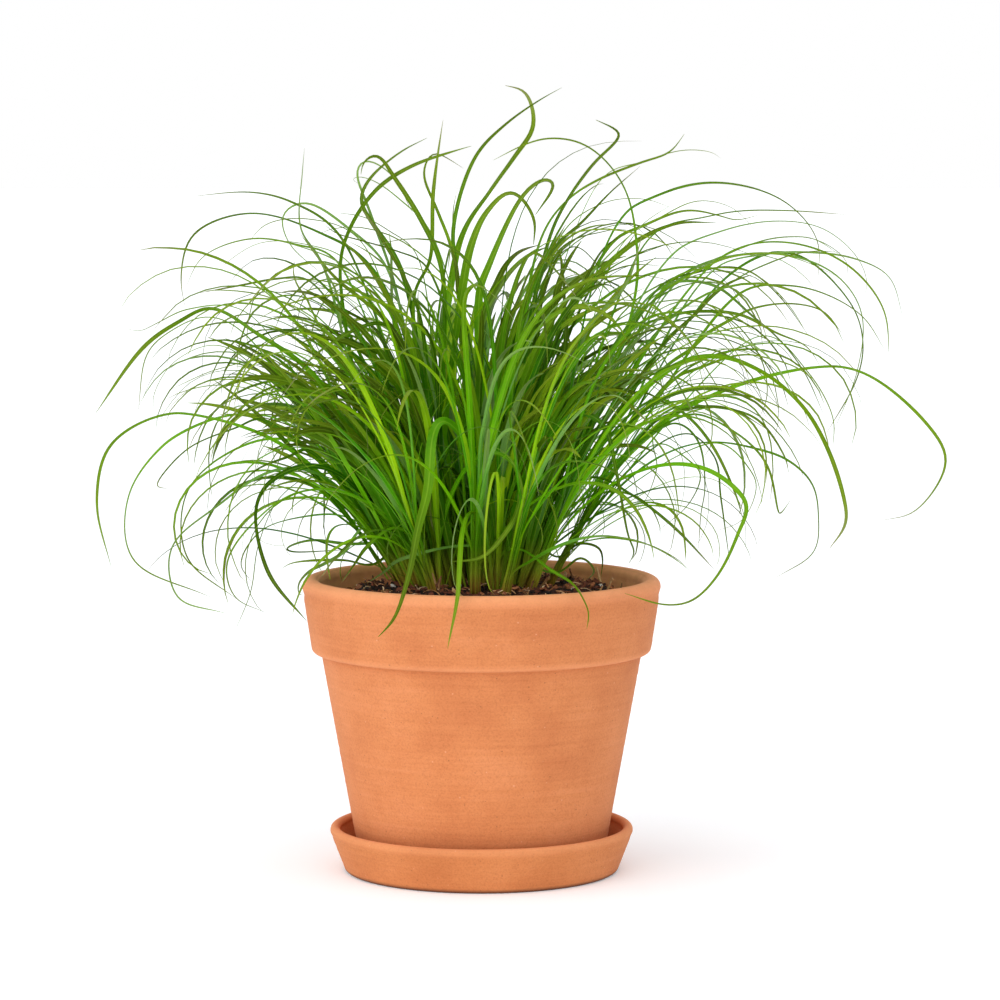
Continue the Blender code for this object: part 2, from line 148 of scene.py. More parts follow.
# Blades: centre lines are worked out in fine steps, of which the solids have every tenth or sixth. They keep
# out of a ring over the pot's lip (its inner and outer radius and its top), off the soil and within reach
FINE_STEPS = 60
DRAWN_STRIDE = 10
PLACED_STRIDE = 6
BLADE_GAP = 0.35
LIP_ROOM = (75.0, 94.0, 152.0)
SOIL_ROOM = 4.0
REACH_LOW = (-188.0, -186.0, 122.0)
REACH_HIGH = (222.0, 186.0, 384.0)

# Drawn blades: the share of each kind, and the least and most of its height up the stem, its spread from the
# stem in degrees, its length and its lean at the tip in degrees
SEED = 41
TRIES = 60
BLADES_PER_SHOOT = 12
LOW_SHARE = 0.2
TALL_SHARE = 0.3
LOW_BLADE = ((6, 20, 105, 110), (22, 42, 180, 165))
MIDDLE_BLADE = ((18, 4, 175, 95), (52, 18, 255, 150))
TALL_BLADE = ((36, 1, 170, 60), (56, 11, 235, 120))
LENGTH_AT_CENTRE = 1.06
LENGTH_AT_EDGE = 0.82
DROOP = (1.2, 2.1)
WANDER = 28.0
ROLL = 40.0
WIDTHS = (1.5, 2.1, 2.4, 3.6)
WIDTH_SHARES = (0.25, 0.35, 0.25, 0.15)

# Finer growth, which only the finished plant has. Each kind has its share, how far it turns from its stem's
# lean to the upright, then the least and the most of five: how far its foot is from the stem's, its spread in
# degrees, its length, its lean at the tip in degrees and its width
FINE_SEED = 97
FINE_PER_SHOOT = 34
FINE_TRIES = 30
FINE_DROOP = (1.6, 3.2)
SHORT_FILL = (0.26, -0.1, (0.5, 0, 130, 55, 3.0), (9, 14, 215, 125, 6.6))
LONG_FILL = (0.34, 0.3, (0.5, 0, 220, 110, 2.8), (9, 12, 335, 190, 5.6))
TALL_FINE = (0.28, 0.7, (0.5, 0, 255, 105, 1.6), (7, 12, 375, 180, 3.0))
SIDE_FINE = (0.10, 0.0, (1, 3, 200, 170, 1.3), (9, 20, 290, 260, 2.0))
LOW_FINE = (0.02, 0.0, (2, 12, 130, 170, 1.1), (9, 35, 220, 280, 1.7))
FINE_KINDS = (SHORT_FILL, LONG_FILL, TALL_FINE, SIDE_FINE, LOW_FINE)
CLEAR_ROOT = 0.3
FRONT_PULL = 0.45
FINE_ROLL = 65.0
# Past its root, a fine blade passes over the pot's lip only above this height
FINE_LIP_TOP = 185.0

# Outline of the finer growth: its middle across, its foot, its reach out and up, and the power of its dome.
# It thins out from the inner limit to the outer one
CROWN_DOME = (3.5, 150.0, 207.0, 246.0, 2.4)
CROWN_LIMITS = (0.0, 0.6)

# Sparse places: lowest and highest corner, and the share of the blades through them that stay
SPARSE = (
    ((-95.0, -250.0, 0.0), (95.0, -72.0, 500.0), 0.04),
    ((60.0, -250.0, 0.0), (250.0, 250.0, 236.0), 0.05),
    ((105.0, -250.0, 0.0), (250.0, 250.0, 315.0), 0.12),
    ((-250.0, -250.0, 0.0), (-70.0, 250.0, 205.0), 0.45),
)

# How a drawn blade's outer part hangs further: where it starts, its power, and least and most at the tip. One
# whose tip is further forward than the first front value, and nearer the middle than the second, hangs less
HANG = (0.4, 1.5)
HANG_ANGLES = (20.0, 95.0)
DRIFT = 40.0
FRONT_TIP = (-60.0, 95.0)
FRONT_HANG = 0.15

# Hairs: the least and the most of their height up the stem, spread, length, lean at the tip, and their width
HAIRS_PER_SHOOT = 3
HAIR = ((20, 6, 120, 170), (58, 46, 220, 300))
HAIR_WIDTHS = (0.4, 0.6)

# Placed blades: where they leave their stem, as shares of its length, how much more a turn off the stem
# counts than a later one when a stem is picked, and how they are moved to find room
EYE = (9.3, -1960.0, 365.0)
EXIT_SHARES = (0.3, 0.4, 0.5, 0.6, 0.7)
EXIT_LENGTH = 20.0
EXIT_ALONG_STEM = 0.65
STEM_PULL = 3
DEPTH_SHIFTS = (0, 6, -6, 12, -12, 18, -18, 24, -24, 32, -32)

# Each placed blade shows in the outline from the front: its width, how far its tip lies behind the axis, and
# points from its root side to its tip, across and up, as the eye sees them in the plane through the axis
PLACED_BLADES = (
    (2.2, 40, ((-48, 299), (-78, 320), (-115, 331), (-144, 320), (-150, 298), (-148, 284))),
    (1.6, 70, ((-72, 307), (-92, 315), (-115, 318), (-139, 309), (-148, 293))),
    (1.8, -35, ((-79, 305), (-90, 323), (-89, 351), (-88, 363))),
    (2.0, 15, ((-70, 319), (-94, 336), (-114, 341), (-145, 339))),
    (4.0, -30, ((-79, 250), (-106, 267), (-135, 284), (-151, 277), (-168, 265), (-193, 231))),
    (3.2, -60, ((-98, 218), (-116, 224), (-156, 231), (-186, 215), (-193, 186), (-186, 153))),
    (1.8, 30, ((-98, 235), (-135, 229), (-159, 215), (-177, 189), (-175, 157), (-136, 138))),
    (2.0, -75, ((-91, 209), (-133, 184), (-156, 163), (-153, 138), (-129, 130))),
    (1.8, 60, ((-91, 222), (-124, 213), (-148, 191), (-148, 158), (-123, 137))),
    (1.5, 0, ((-82, 196), (-114, 176), (-128, 155), (-124, 138), (-108, 130))),
    (3.8, -45, ((-72, 206), (-98, 203), (-113, 186), (-108, 152), (-88, 126))),
    (3.2, 25, ((79, 221), (137, 249), (187, 253), (226, 222), (233, 206), (217, 181), (201, 177))),
    (1.8, 65, ((112, 300), (140, 310), (168, 311), (187, 308), (204, 299), (211, 277))),
    (1.6, -20, ((85, 320), (112, 329), (129, 332), (155, 332), (182, 330))),
    (2.0, -60, ((66, 325), (89, 340), (112, 346), (137, 343), (155, 334), (168, 317), (168, 297))),
    (2.2, 10, ((129, 291), (151, 295), (171, 291), (191, 279), (202, 262))),
    (1.8, 95, ((120, 300), (155, 311), (184, 287), (191, 267), (188, 248), (173, 221))),
    (4.4, -70, ((100, 262), (137, 254), (160, 236), (173, 215), (182, 188), (183, 175), (175, 163))),
    (1.8, 45, ((100, 218), (138, 213), (154, 207), (166, 195), (169, 179), (167, 161), (148, 148))),
    (2.8, -90, ((100, 210), (133, 186), (129, 170), (119, 149), (106, 136), (92, 134), (72, 140))),
    (3.2, -75, ((50, 202), (74, 191), (95, 175), (117, 152))),
    (2.8, 20, ((-11, 297), (-14, 322), (-3, 359), (12, 375), (29, 387), (40, 393))),
    (2.2, 45, ((-11, 317), (4, 342), (17, 360), (26, 374), (22, 391), (12, 394))),
    (2.0, -15, ((2, 342), (22, 369), (49, 366), (73, 344), (76, 330))),
    (2.2, -30, ((34, 317), (42, 335), (56, 355), (68, 367), (69, 371), (57, 377))),
    (2.6, -45, ((-1, 289), (4, 304), (21, 339), (31, 347), (36, 345), (27, 330))),
    (3.0, 5, ((-34, 290), (-26, 307), (-24, 340), (-19, 377))),
    (2.0, 30, ((-42, 290), (-55, 330), (-62, 352), (-58, 357), (-45, 350), (-34, 330))),
    (5.0, -92, ((-20, 236), (-24, 228), (-27, 193), (-32, 174), (-37, 150), (-44, 128), (-52, 118))),
    (2.8, -122, ((-6, 186), (-10, 172), (-11, 156), (-12, 137), (-17, 110))),
    (2.2, -84, ((-8, 206), (1, 214), (12, 210), (19, 197), (18, 182), (11, 169), (0, 158), (-15, 156))),
    (1.8, -96, ((22, 178), (32, 169), (47, 147), (52, 121))),
)

# Blades that the finished plant leaves out, by their order: a placed one that really grows from its other
# end, as a finer placed one does instead, and two drawn ones that hang end on before the eye
LEFT_OUT = (23, 196, 233)

# Finished widths of placed blades, each in its turn. CAD ones are broader, so that they can be made
FINISHED_WIDTHS = (
    1.6, 1.1, 1.4, 1.5, 2.9, 2.0, 1.4, 1.5, 1.3, 1.1, 2.9, 2.1, 1.3, 1.3, 1.4, 1.5,
    1.4, 3.3, 1.3, 2.3, 1.9, 2.3, 3.6, 2.0, 3.0, 4.4, 2.7, 1.7, 5.0, 2.6, 3.0, 1.6,
)

# A closer path for the curl over the right of the rim, by its order. In the solids it is straighter
FINISHED_PATHS = {31: ((24, 161), (31, 154), (38, 150), (46, 145), (51, 138), (54, 130), (53, 122))}

# Finer placed blades, given in the same way. They may touch others, as real ones do
FINE_PLACED = (
    (1.5, -15, ((77, 285), (78, 310), (73, 340), (62, 357), (49, 366), (33, 368), (22, 365), (6, 357))),
    (2.8, 15, ((-40, 302), (-55, 327), (-60, 337), (-56, 347), (-40, 361), (-27, 368))),
    (2.8, -10, ((-71, 302), (-66, 323), (-52, 343), (-35, 354), (-15, 361), (-5, 364))),
    (3.2, -20, ((-20, 302), (-30, 327), (-43, 348), (-52, 360), (-59, 356), (-60, 350))),
    (1.0, 25, ((-25, 321), (-40, 337), (-54, 347), (-63, 349), (-65, 347), (-60, 345))),
    (2.0, 10, ((-14, 310), (-22, 332), (-29, 351), (-24, 361), (-15, 357), (-9, 353))),
    (1.0, 35, ((-32, 310), (-46, 322), (-59, 329), (-73, 331))),
    (1.6, -30, ((-27, 304), (-42, 312), (-59, 317), (-73, 321), (-78, 325))),
    (1.6, 20, ((-46, 302), (-66, 323), (-88, 336), (-99, 330), (-96, 316), (-79, 300))),
    (4.6, -20, ((-9, 297), (-4, 317), (3, 331), (15, 341), (26, 328), (26, 315))),
    (2.0, 30, ((30, 318), (43, 337), (58, 347), (80, 356), (94, 361), (101, 370))),
    (1.8, -10, ((35, 311), (50, 326), (64, 341), (79, 354))),
    (0.7, 45, ((60, 348), (80, 356), (100, 362), (115, 361), (119, 358))),
    (0.7, 20, ((70, 315), (90, 329), (108, 337), (126, 333), (139, 319))),
    (1.8, 50, ((65, 316), (80, 324), (102, 332), (120, 329), (127, 327), (139, 330))),
    (1.0, -15, ((90, 306), (120, 322), (148, 327), (171, 323), (189, 307), (193, 292), (189, 287))),
    (0.9, 40, ((95, 294), (124, 311), (150, 319), (169, 317), (183, 306), (182, 298))),
    (1.5, -40, ((105, 296), (129, 314), (156, 316), (183, 305), (201, 283), (204, 258))),
    (1.2, 75, ((90, 300), (120, 309), (152, 310), (177, 300), (190, 281), (188, 252), (177, 223))),
    (1.2, 5, ((90, 295), (107, 301), (120, 304), (134, 302), (151, 287), (164, 269))),
    (0.9, -55, ((140, 270), (163, 252), (176, 229), (176, 212))),
    (1.7, -35, ((101, 230), (127, 221), (143, 205), (149, 181), (150, 180), (155, 187))),
    (1.8, 55, ((90, 232), (117, 234), (138, 228), (152, 209), (154, 201))),
    (2.0, -65, ((85, 238), (102, 230), (116, 214), (128, 189), (131, 178))),
    (1.2, 15, ((100, 222), (117, 209), (120, 189), (125, 153))),
    (1.2, -50, ((95, 226), (108, 218), (112, 194), (110, 180), (109, 162))),
    (1.0, -20, ((45, 164), (60, 168), (83, 165), (99, 157), (103, 153))),
    (0.9, 35, ((86, 216), (104, 207), (110, 200), (104, 185), (88, 171))),
    (0.8, -30, ((118, 216), (135, 202), (138, 193), (131, 177), (116, 171))),
    (0.8, 45, ((84, 235), (86, 214), (88, 204), (81, 185), (74, 178))),
    (2.6, -80, ((44, 234), (61, 225), (68, 201), (74, 169), (77, 161), (74, 155))),
    (2.6, -75, ((49, 245), (71, 237), (85, 225))),
    (0.9, -15, ((-60, 317), (-87, 328), (-108, 325), (-117, 315))),
    (0.8, 45, ((-65, 305), (-87, 315), (-110, 316), (-126, 307), (-131, 302))),
    (1.7, 10, ((-86, 297), (-101, 298), (-119, 295), (-141, 291))),
    (0.8, 60, ((-117, 281), (-146, 283), (-162, 276), (-171, 272), (-180, 274))),
    (1.0, -25, ((-119, 271), (-137, 279), (-155, 272), (-167, 261), (-172, 231))),
    (0.7, 30, ((-128, 264), (-153, 257), (-164, 240), (-164, 232))),
    (1.0, -40, ((-105, 255), (-131, 253), (-155, 243))),
    (1.4, -55, ((-110, 228), (-122, 224), (-146, 214), (-160, 200), (-163, 194), (-157, 193))),
    (1.7, -70, ((-85, 212), (-97, 209), (-115, 201), (-129, 181))),
    (1.0, 25, ((-66, 181), (-81, 180), (-110, 172), (-121, 155), (-115, 145))),
    (1.6, 30, ((-57, 164), (-86, 167), (-98, 163), (-96, 161), (-67, 162))),
    (1.8, -5, ((-54, 155), (-69, 157), (-96, 155), (-101, 152))),
    (2.0, -35, ((-69, 161), (-79, 155), (-87, 151), (-92, 145), (-92, 140), (-90, 139))),
    (2.2, -60, ((-41, 174), (-57, 164), (-64, 155), (-70, 146))),
    (2.0, -50, ((-41, 157), (-49, 151), (-58, 145))),
    (0.9, 0, ((-68, 161), (-71, 151), (-70, 146))),
    (2.0, 10, ((37, 150), (50, 158), (57, 151), (52, 146))),
    (1.8, 20, ((38, 158), (49, 165), (59, 163), (61, 157), (60, 148))),
    (2.8, -110, ((-6, 186), (-10, 172), (-11, 156), (-12, 137), (-17, 112))),
    (0.7, 0, ((-72, 206), (-100, 190), (-112, 165), (-116, 141), (-124, 121))),
    (4.4, -10, ((1, 280), (7, 294), (12, 305), (19, 312), (29, 315))),
    (4.0, 15, ((1, 276), (8, 291), (15, 302), (24, 310), (33, 314))),
    (4.2, -25, ((15, 267), (22, 287), (29, 304), (35, 314), (42, 325))),
    (4.0, 20, ((34, 271), (37, 287), (40, 301), (39, 310), (35, 317))),
    (3.4, -30, ((7, 260), (12, 276), (21, 286), (29, 284), (33, 276))),
    (4.4, 5, ((-9, 265), (-10, 282), (-12, 294), (-13, 305), (-17, 318))),
    (3.6, -20, ((-34, 262), (-44, 283), (-57, 304), (-70, 318))),
    (3.4, 25, ((44, 280), (60, 302), (79, 318), (98, 326), (117, 326))),
    (3.8, -5, ((33, 263), (35, 282), (39, 298), (45, 310), (50, 317))),
    (4.0, 15, ((42, 272), (41, 285), (41, 296), (40, 306))),
    (3.8, -20, ((19, 269), (22, 283), (26, 298), (30, 307), (35, 314))),
    (3.4, 10, ((28, 269), (30, 285), (34, 298), (39, 310), (44, 317))),
    (3.2, 30, ((13, 272), (19, 288), (24, 301), (29, 310))),
    (2.8, -45, ((10, 266), (14, 285), (20, 303), (25, 311), (30, 309), (37, 302), (45, 292), (49, 287))),
    (1.2, 25, ((44, 289), (55, 301), (68, 314), (77, 322), (84, 328), (95, 335))),
    (1.3, -30, ((49, 294), (58, 299), (71, 307), (81, 311), (95, 316))),
    (1.4, 40, ((49, 282), (56, 291), (62, 301), (68, 310), (73, 316))),
    (2.8, -35, ((52, 272), (62, 283), (69, 290), (74, 298), (77, 307), (80, 319))),
    (2.2, 20, ((30, 298), (36, 310), (43, 318), (52, 323), (60, 325), (64, 325))),
    (1.5, -10, ((33, 301), (39, 313), (49, 319), (58, 321), (68, 323), (75, 322))),
    (1.0, 50, ((35, 307), (40, 320), (47, 328), (55, 333), (65, 337), (75, 338), (85, 337), (95, 333))),
    (1.2, -25, ((30, 294), (37, 308), (44, 314), (49, 314), (58, 305), (64, 296), (69, 289))),
    (2.6, 5, ((38, 269), (45, 285), (53, 300), (59, 311), (65, 317), (72, 320))),
    (2.0, 35, ((45, 272), (52, 288), (61, 302), (70, 311), (77, 321))),
    (3.6, -15, ((7, 263), (11, 278), (16, 291), (22, 300))),
    (2.9, -25, ((-30, 274), (-34, 288), (-40, 301), (-47, 313), (-54, 325), (-60, 333))),
    (1.2, 30, ((-40, 279), (-47, 288), (-56, 296), (-65, 302), (-74, 308), (-84, 312), (-101, 317))),
    (2.4, -10, ((-44, 270), (-51, 280), (-60, 288), (-69, 295), (-76, 302), (-83, 311), (-90, 320))),
    (1.7, 45, ((-68, 248), (-72, 257), (-76, 266), (-84, 281), (-87, 288), (-92, 295), (-94, 302),
               (-93, 307))),
    (1.5, -40, ((-63, 248), (-67, 261), (-70, 273), (-71, 284), (-73, 293), (-77, 300), (-82, 309),
                (-88, 318))),
    (1.7, 15, ((-44, 279), (-55, 289), (-63, 292), (-71, 295), (-80, 297), (-92, 298), (-101, 298))),
    (2.7, -20, ((-49, 268), (-56, 276), (-65, 281), (-74, 286), (-82, 290), (-95, 292), (-101, 291))),
    (2.4, 35, ((-47, 263), (-53, 270), (-63, 276), (-72, 281), (-82, 283), (-92, 283), (-101, 281))),
    (2.7, -35, ((-45, 257), (-53, 262), (-63, 266), (-72, 270), (-82, 276), (-93, 279), (-105, 279))),
    (1.5, 20, ((-56, 265), (-63, 269), (-72, 272), (-82, 275), (-92, 274), (-101, 271))),
    (2.2, -75, ((-44, 273), (-53, 276), (-60, 274), (-68, 270), (-76, 265), (-85, 258), (-93, 248),
                (-100, 239))),
    (2.5, 10, ((-42, 263), (-44, 274), (-45, 286), (-45, 295), (-45, 305), (-45, 313), (-46, 321))),
    (1.4, 30, ((-10, 288), (-12, 299), (-13, 309), (-14, 321), (-14, 332), (-12, 343))),
    (3.0, -20, ((80, 248), (89, 262), (98, 272), (107, 280), (118, 292), (126, 297), (135, 300))),
    (1.1, 25, ((92, 268), (105, 278), (118, 291), (131, 300), (144, 306), (155, 310), (168, 312),
               (180, 311))),
    (1.8, -35, ((99, 250), (105, 252), (116, 256), (125, 259), (134, 260), (144, 258), (157, 254),
                (166, 248))),
    (2.0, 10, ((80, 242), (92, 255), (104, 262), (113, 271), (125, 278), (134, 283), (153, 286),
               (171, 282), (180, 271))),
    (2.0, -10, ((80, 275), (89, 278), (99, 281), (110, 282), (130, 280), (147, 271), (163, 264),
                (169, 255))),
    (1.7, 40, ((80, 289), (89, 294), (101, 297), (112, 296), (120, 293), (135, 280), (149, 268),
               (162, 251), (171, 231))),
    (1.0, -45, ((80, 284), (92, 293), (110, 303), (121, 308), (131, 310), (141, 311), (150, 310),
                (163, 306), (180, 298))),
    (1.0, 55, ((92, 293), (105, 301), (118, 308), (131, 314), (144, 318), (155, 319), (166, 318),
               (180, 309))),
    (1.1, 0, ((92, 295), (101, 301), (110, 303), (128, 303), (135, 301), (144, 295), (155, 283),
              (163, 270))),
    (0.9, 30, ((96, 266), (107, 271), (118, 272), (134, 271), (142, 268), (150, 264), (158, 254))),
    (1.2, -30, ((99, 252), (105, 255), (112, 258), (118, 262), (125, 263), (132, 262), (139, 260))),
    (1.3, -60, ((83, 286), (91, 280), (101, 271), (107, 262), (112, 254), (120, 241), (125, 231))),
    (1.4, -70, ((83, 268), (89, 262), (96, 250), (101, 241), (105, 233), (113, 222))),
    (1.3, 45, ((92, 276), (105, 282), (116, 281), (125, 277), (133, 269), (141, 255), (143, 239),
               (139, 228))),
    (1.7, 15, ((86, 226), (96, 231), (110, 234), (119, 234), (128, 232), (136, 227), (144, 222))),
    (1.5, -25, ((76, 241), (83, 241), (92, 236), (101, 231), (107, 222))),
)

# Blade section and taper: half widths along a blade as shares of its half width, of a slender or placed blade
# and of a broad one, how much slimmer a drawn one is than in the solids, and how its two halves fold up
TAPER = ((0.0, 0.12, 0.3, 0.6, 0.85, 0.96, 1.0), (0.6, 0.7, 1.0, 0.9, 0.68, 0.4, 0.08))
PLACED_TAPER = ((0.0, 0.12, 0.3, 0.6, 0.85, 0.95, 1.0), (0.6, 0.7, 0.95, 1.0, 0.74, 0.46, 0.08))
BROAD_TAPER = ((0.0, 0.08, 0.2, 0.36, 0.55, 0.75, 0.92, 1.0), (0.3, 0.35, 0.56, 0.97, 0.92, 0.66, 0.4, 0.05))
BROAD = 2.5
SLIMMER = 0.85
SHEATH_WIDTH = 2.8
SHEATH_SHARE = 0.14
FOLD_AT_SHEATH = 0.9
FOLD_AT_MIDDLE = 0.42
THICKNESS_SHARE = 0.2

# Twist in degrees: at a drawn blade's tip, and the swing of a placed one with the waves that it makes
TWIST = 70.0
PLACED_TWIST = 52.0
TWISTS = (0.7, 1.5)

# Finished lines: the steps of a placed one, how often it is evened out, and the share of its length where
# that ends, the share over which it fades and the least of it. Others keep every second point
PLACED_STEPS = 110
EASING = 90
EASED = (0.62, 0.2, 0.02)
POINT_STRIDE = 2

# Sheath: how deep a blade's foot is, how far a blade is from the stem's middle, and the shares of that at the
# foot and halfway. Above it every sixth point is kept, from the twelfth on if the blade starts outside it
ROOT_DEPTH = 5.0
SHEATH_SPREAD = (0.8, 2.6)
SPREAD_AT_FOOT = 0.8
SPREAD_HALFWAY = 0.9
LEAVING_STEP = 12
ROOTED_STRIDE = 6

# Colour along a blade: the tones of placed ones, the share of blades with dry tips, where these start, how
# dry they and a hair's get, and the distance from the stem's foot that counts as 1 in the sheath's colours
# and in the painted shade low in the plant
PLACED_TONES = (0.08, 0.72)
DRY_SHARE = 0.3
DRY_FROM = 0.9
DRY_TIP = 0.7
DRY_HAIR = 0.2
LIFT_HEIGHT = 100.0

# Litter on the soil: how many a square centimetre, smallest and largest scale, and tilt in degrees
CRUMBS = (30.0, 0.5, 2.2, 180.0)
BARK = (3.2, 2.0, 7.0, 45.0)
GRIT = (0.2, 1.2, 3.4, 60.0)
ROOTLETS = (2.8, 5.0, 15.0, 55.0)
STUBS = (0.13, 5.0, 11.0, 38.0)
SQUARE_CM = 1e-4

# Litter shapes, one unit across or long. Roughness is a share of the size. A rootlet has its steps, its least
# radius and how much more it has at its middle; a stub its rings' heights, its radius, taper and flatness
CRUMB_FORM = {"detail": 1, "stretch": (1.0, 0.9, 0.7), "rough": 0.25}
GRIT_FORM = {"detail": 2, "stretch": (1.0, 0.8, 0.6), "rough": 0.09}
CHIP_THICKNESS = 0.16
CHIP_ROUGH = 0.06
ROOTLET_STEPS = 10
ROOTLET_RADII = (0.016, 0.012)
ROOTLET_CORNERS = (0.5, 2.6, 4.7)
STUB_HEIGHTS = (-0.3, 0.1, 0.4, 0.7, 1.0)
STUB_SIDES = 7
STUB_RADII = (0.11, 0.035, 0.7)

# Studio: the lamps have where they shine from, their strength, and in degrees how broad they look
FLOOR_REACH = 30.0
CAMERA_TILT = 5.185
LENS = 141.2
SENSOR = 36.0
AIR_LIGHT = 0.83
TABLE_GLOW = 0.14
LAMPS = (
    ("key", (-1.1, -1.8, 2.2), 1.36, 110.0),
    ("low", (-1.3, -1.6, 0.4), 0.6, 50.0),
    ("side", (2.0, -0.6, 2.4), 0.08, 90.0),
)

# A stem has its foot on the soil, its lean, and unit vectors along it, level across it and square to both
Stem = namedtuple("Stem", "foot lean along level square")
# A blade has its points in the solids, unless it is one of the finer ones, and either a line or knots
Blade = namedtuple("Blade", "points width roll owner line knots")
# A strand is a finished blade's line, with the width, fold and frame that its section takes at each point
Strand = namedtuple("Strand", "points half fold side up along lift tone dry")


def linear(code):
    """Linear colour with full alpha, from an sRGB hex value."""
    parts = [int(code[i : i + 2], 16) / 255 for i in (1, 3, 5)]
    return [p / 12.92 if p <= 0.04045 else ((p + 0.055) / 1.055) ** 2.4 for p in parts] + [1.0]


def node(tree, kind, sockets=None, stops=(), **settings):
    """Adds a node and returns its outputs. A socket takes a value or a link, and a ramp takes its stops."""
    added = tree.nodes.new(kind)
    for name, value in settings.items():
        setattr(added, name, value)
    for key, value in (sockets or {}).items():
        socket = next(s for s in added.inputs if key in (s.identifier, s.name))
        if isinstance(value, bpy.types.NodeSocket):
            tree.links.new(value, socket)
        else:
            socket.default_value = value
    for _ in stops[2:]:
        added.color_ramp.elements.new(0.5)
    for number, (place, colour) in enumerate(stops):
        added.color_ramp.elements[number].position = place
        added.color_ramp.elements[number].color = linear(colour)
    return added.outputs


def per_metre(size):
    """A texture's scale, from the size of its features."""
    return 1 / (size * MM)


def shader(finish):
    """The sockets of a material's shader."""
    return finish.node_tree.nodes["Principled BSDF"].inputs


def new_finish(name, roughness, ior):
    """A new material, and node with the material's tree filled in."""
    finish = bpy.data.materials.new(name)
    finish.use_nodes = True
    shader(finish)["Roughness"].default_value = roughness
    shader(finish)["IOR"].default_value = ior
    return finish, partial(node, finish.node_tree)


def end_finish(finish, colour, relief, strength, depth):
    """Ends a material: its colour, and a relief with a strength and a depth in millimetres."""
    tree = finish.node_tree
    bump = node(tree, "ShaderNodeBump", {"Strength": strength, "Distance": depth * MM, "Height": relief})[0]
    tree.links.new(colour, shader(finish)["Base Color"])
    tree.links.new(bump, shader(finish)["Normal"])
    return finish


def flecks(add, place, spacing, channel, spread, least):
    """Round flecks in a pattern of cells. Each cell draws its own size, and one below zero stays empty."""
    cells = add("ShaderNodeTexVoronoi", {"Vector": place, "Scale": per_metre(spacing)})
    drawn = add("ShaderNodeSeparateColor", {"Color": cells["Color"]})[channel]
    sums = {"Value": drawn, "Value_001": spread, "Value_002": least}
    size = add("ShaderNodeMath", sums, operation="MULTIPLY_ADD")[0]
    return add("ShaderNodeMath", {"Value": cells["Distance"], "Value_001": size}, operation="LESS_THAN")[0]


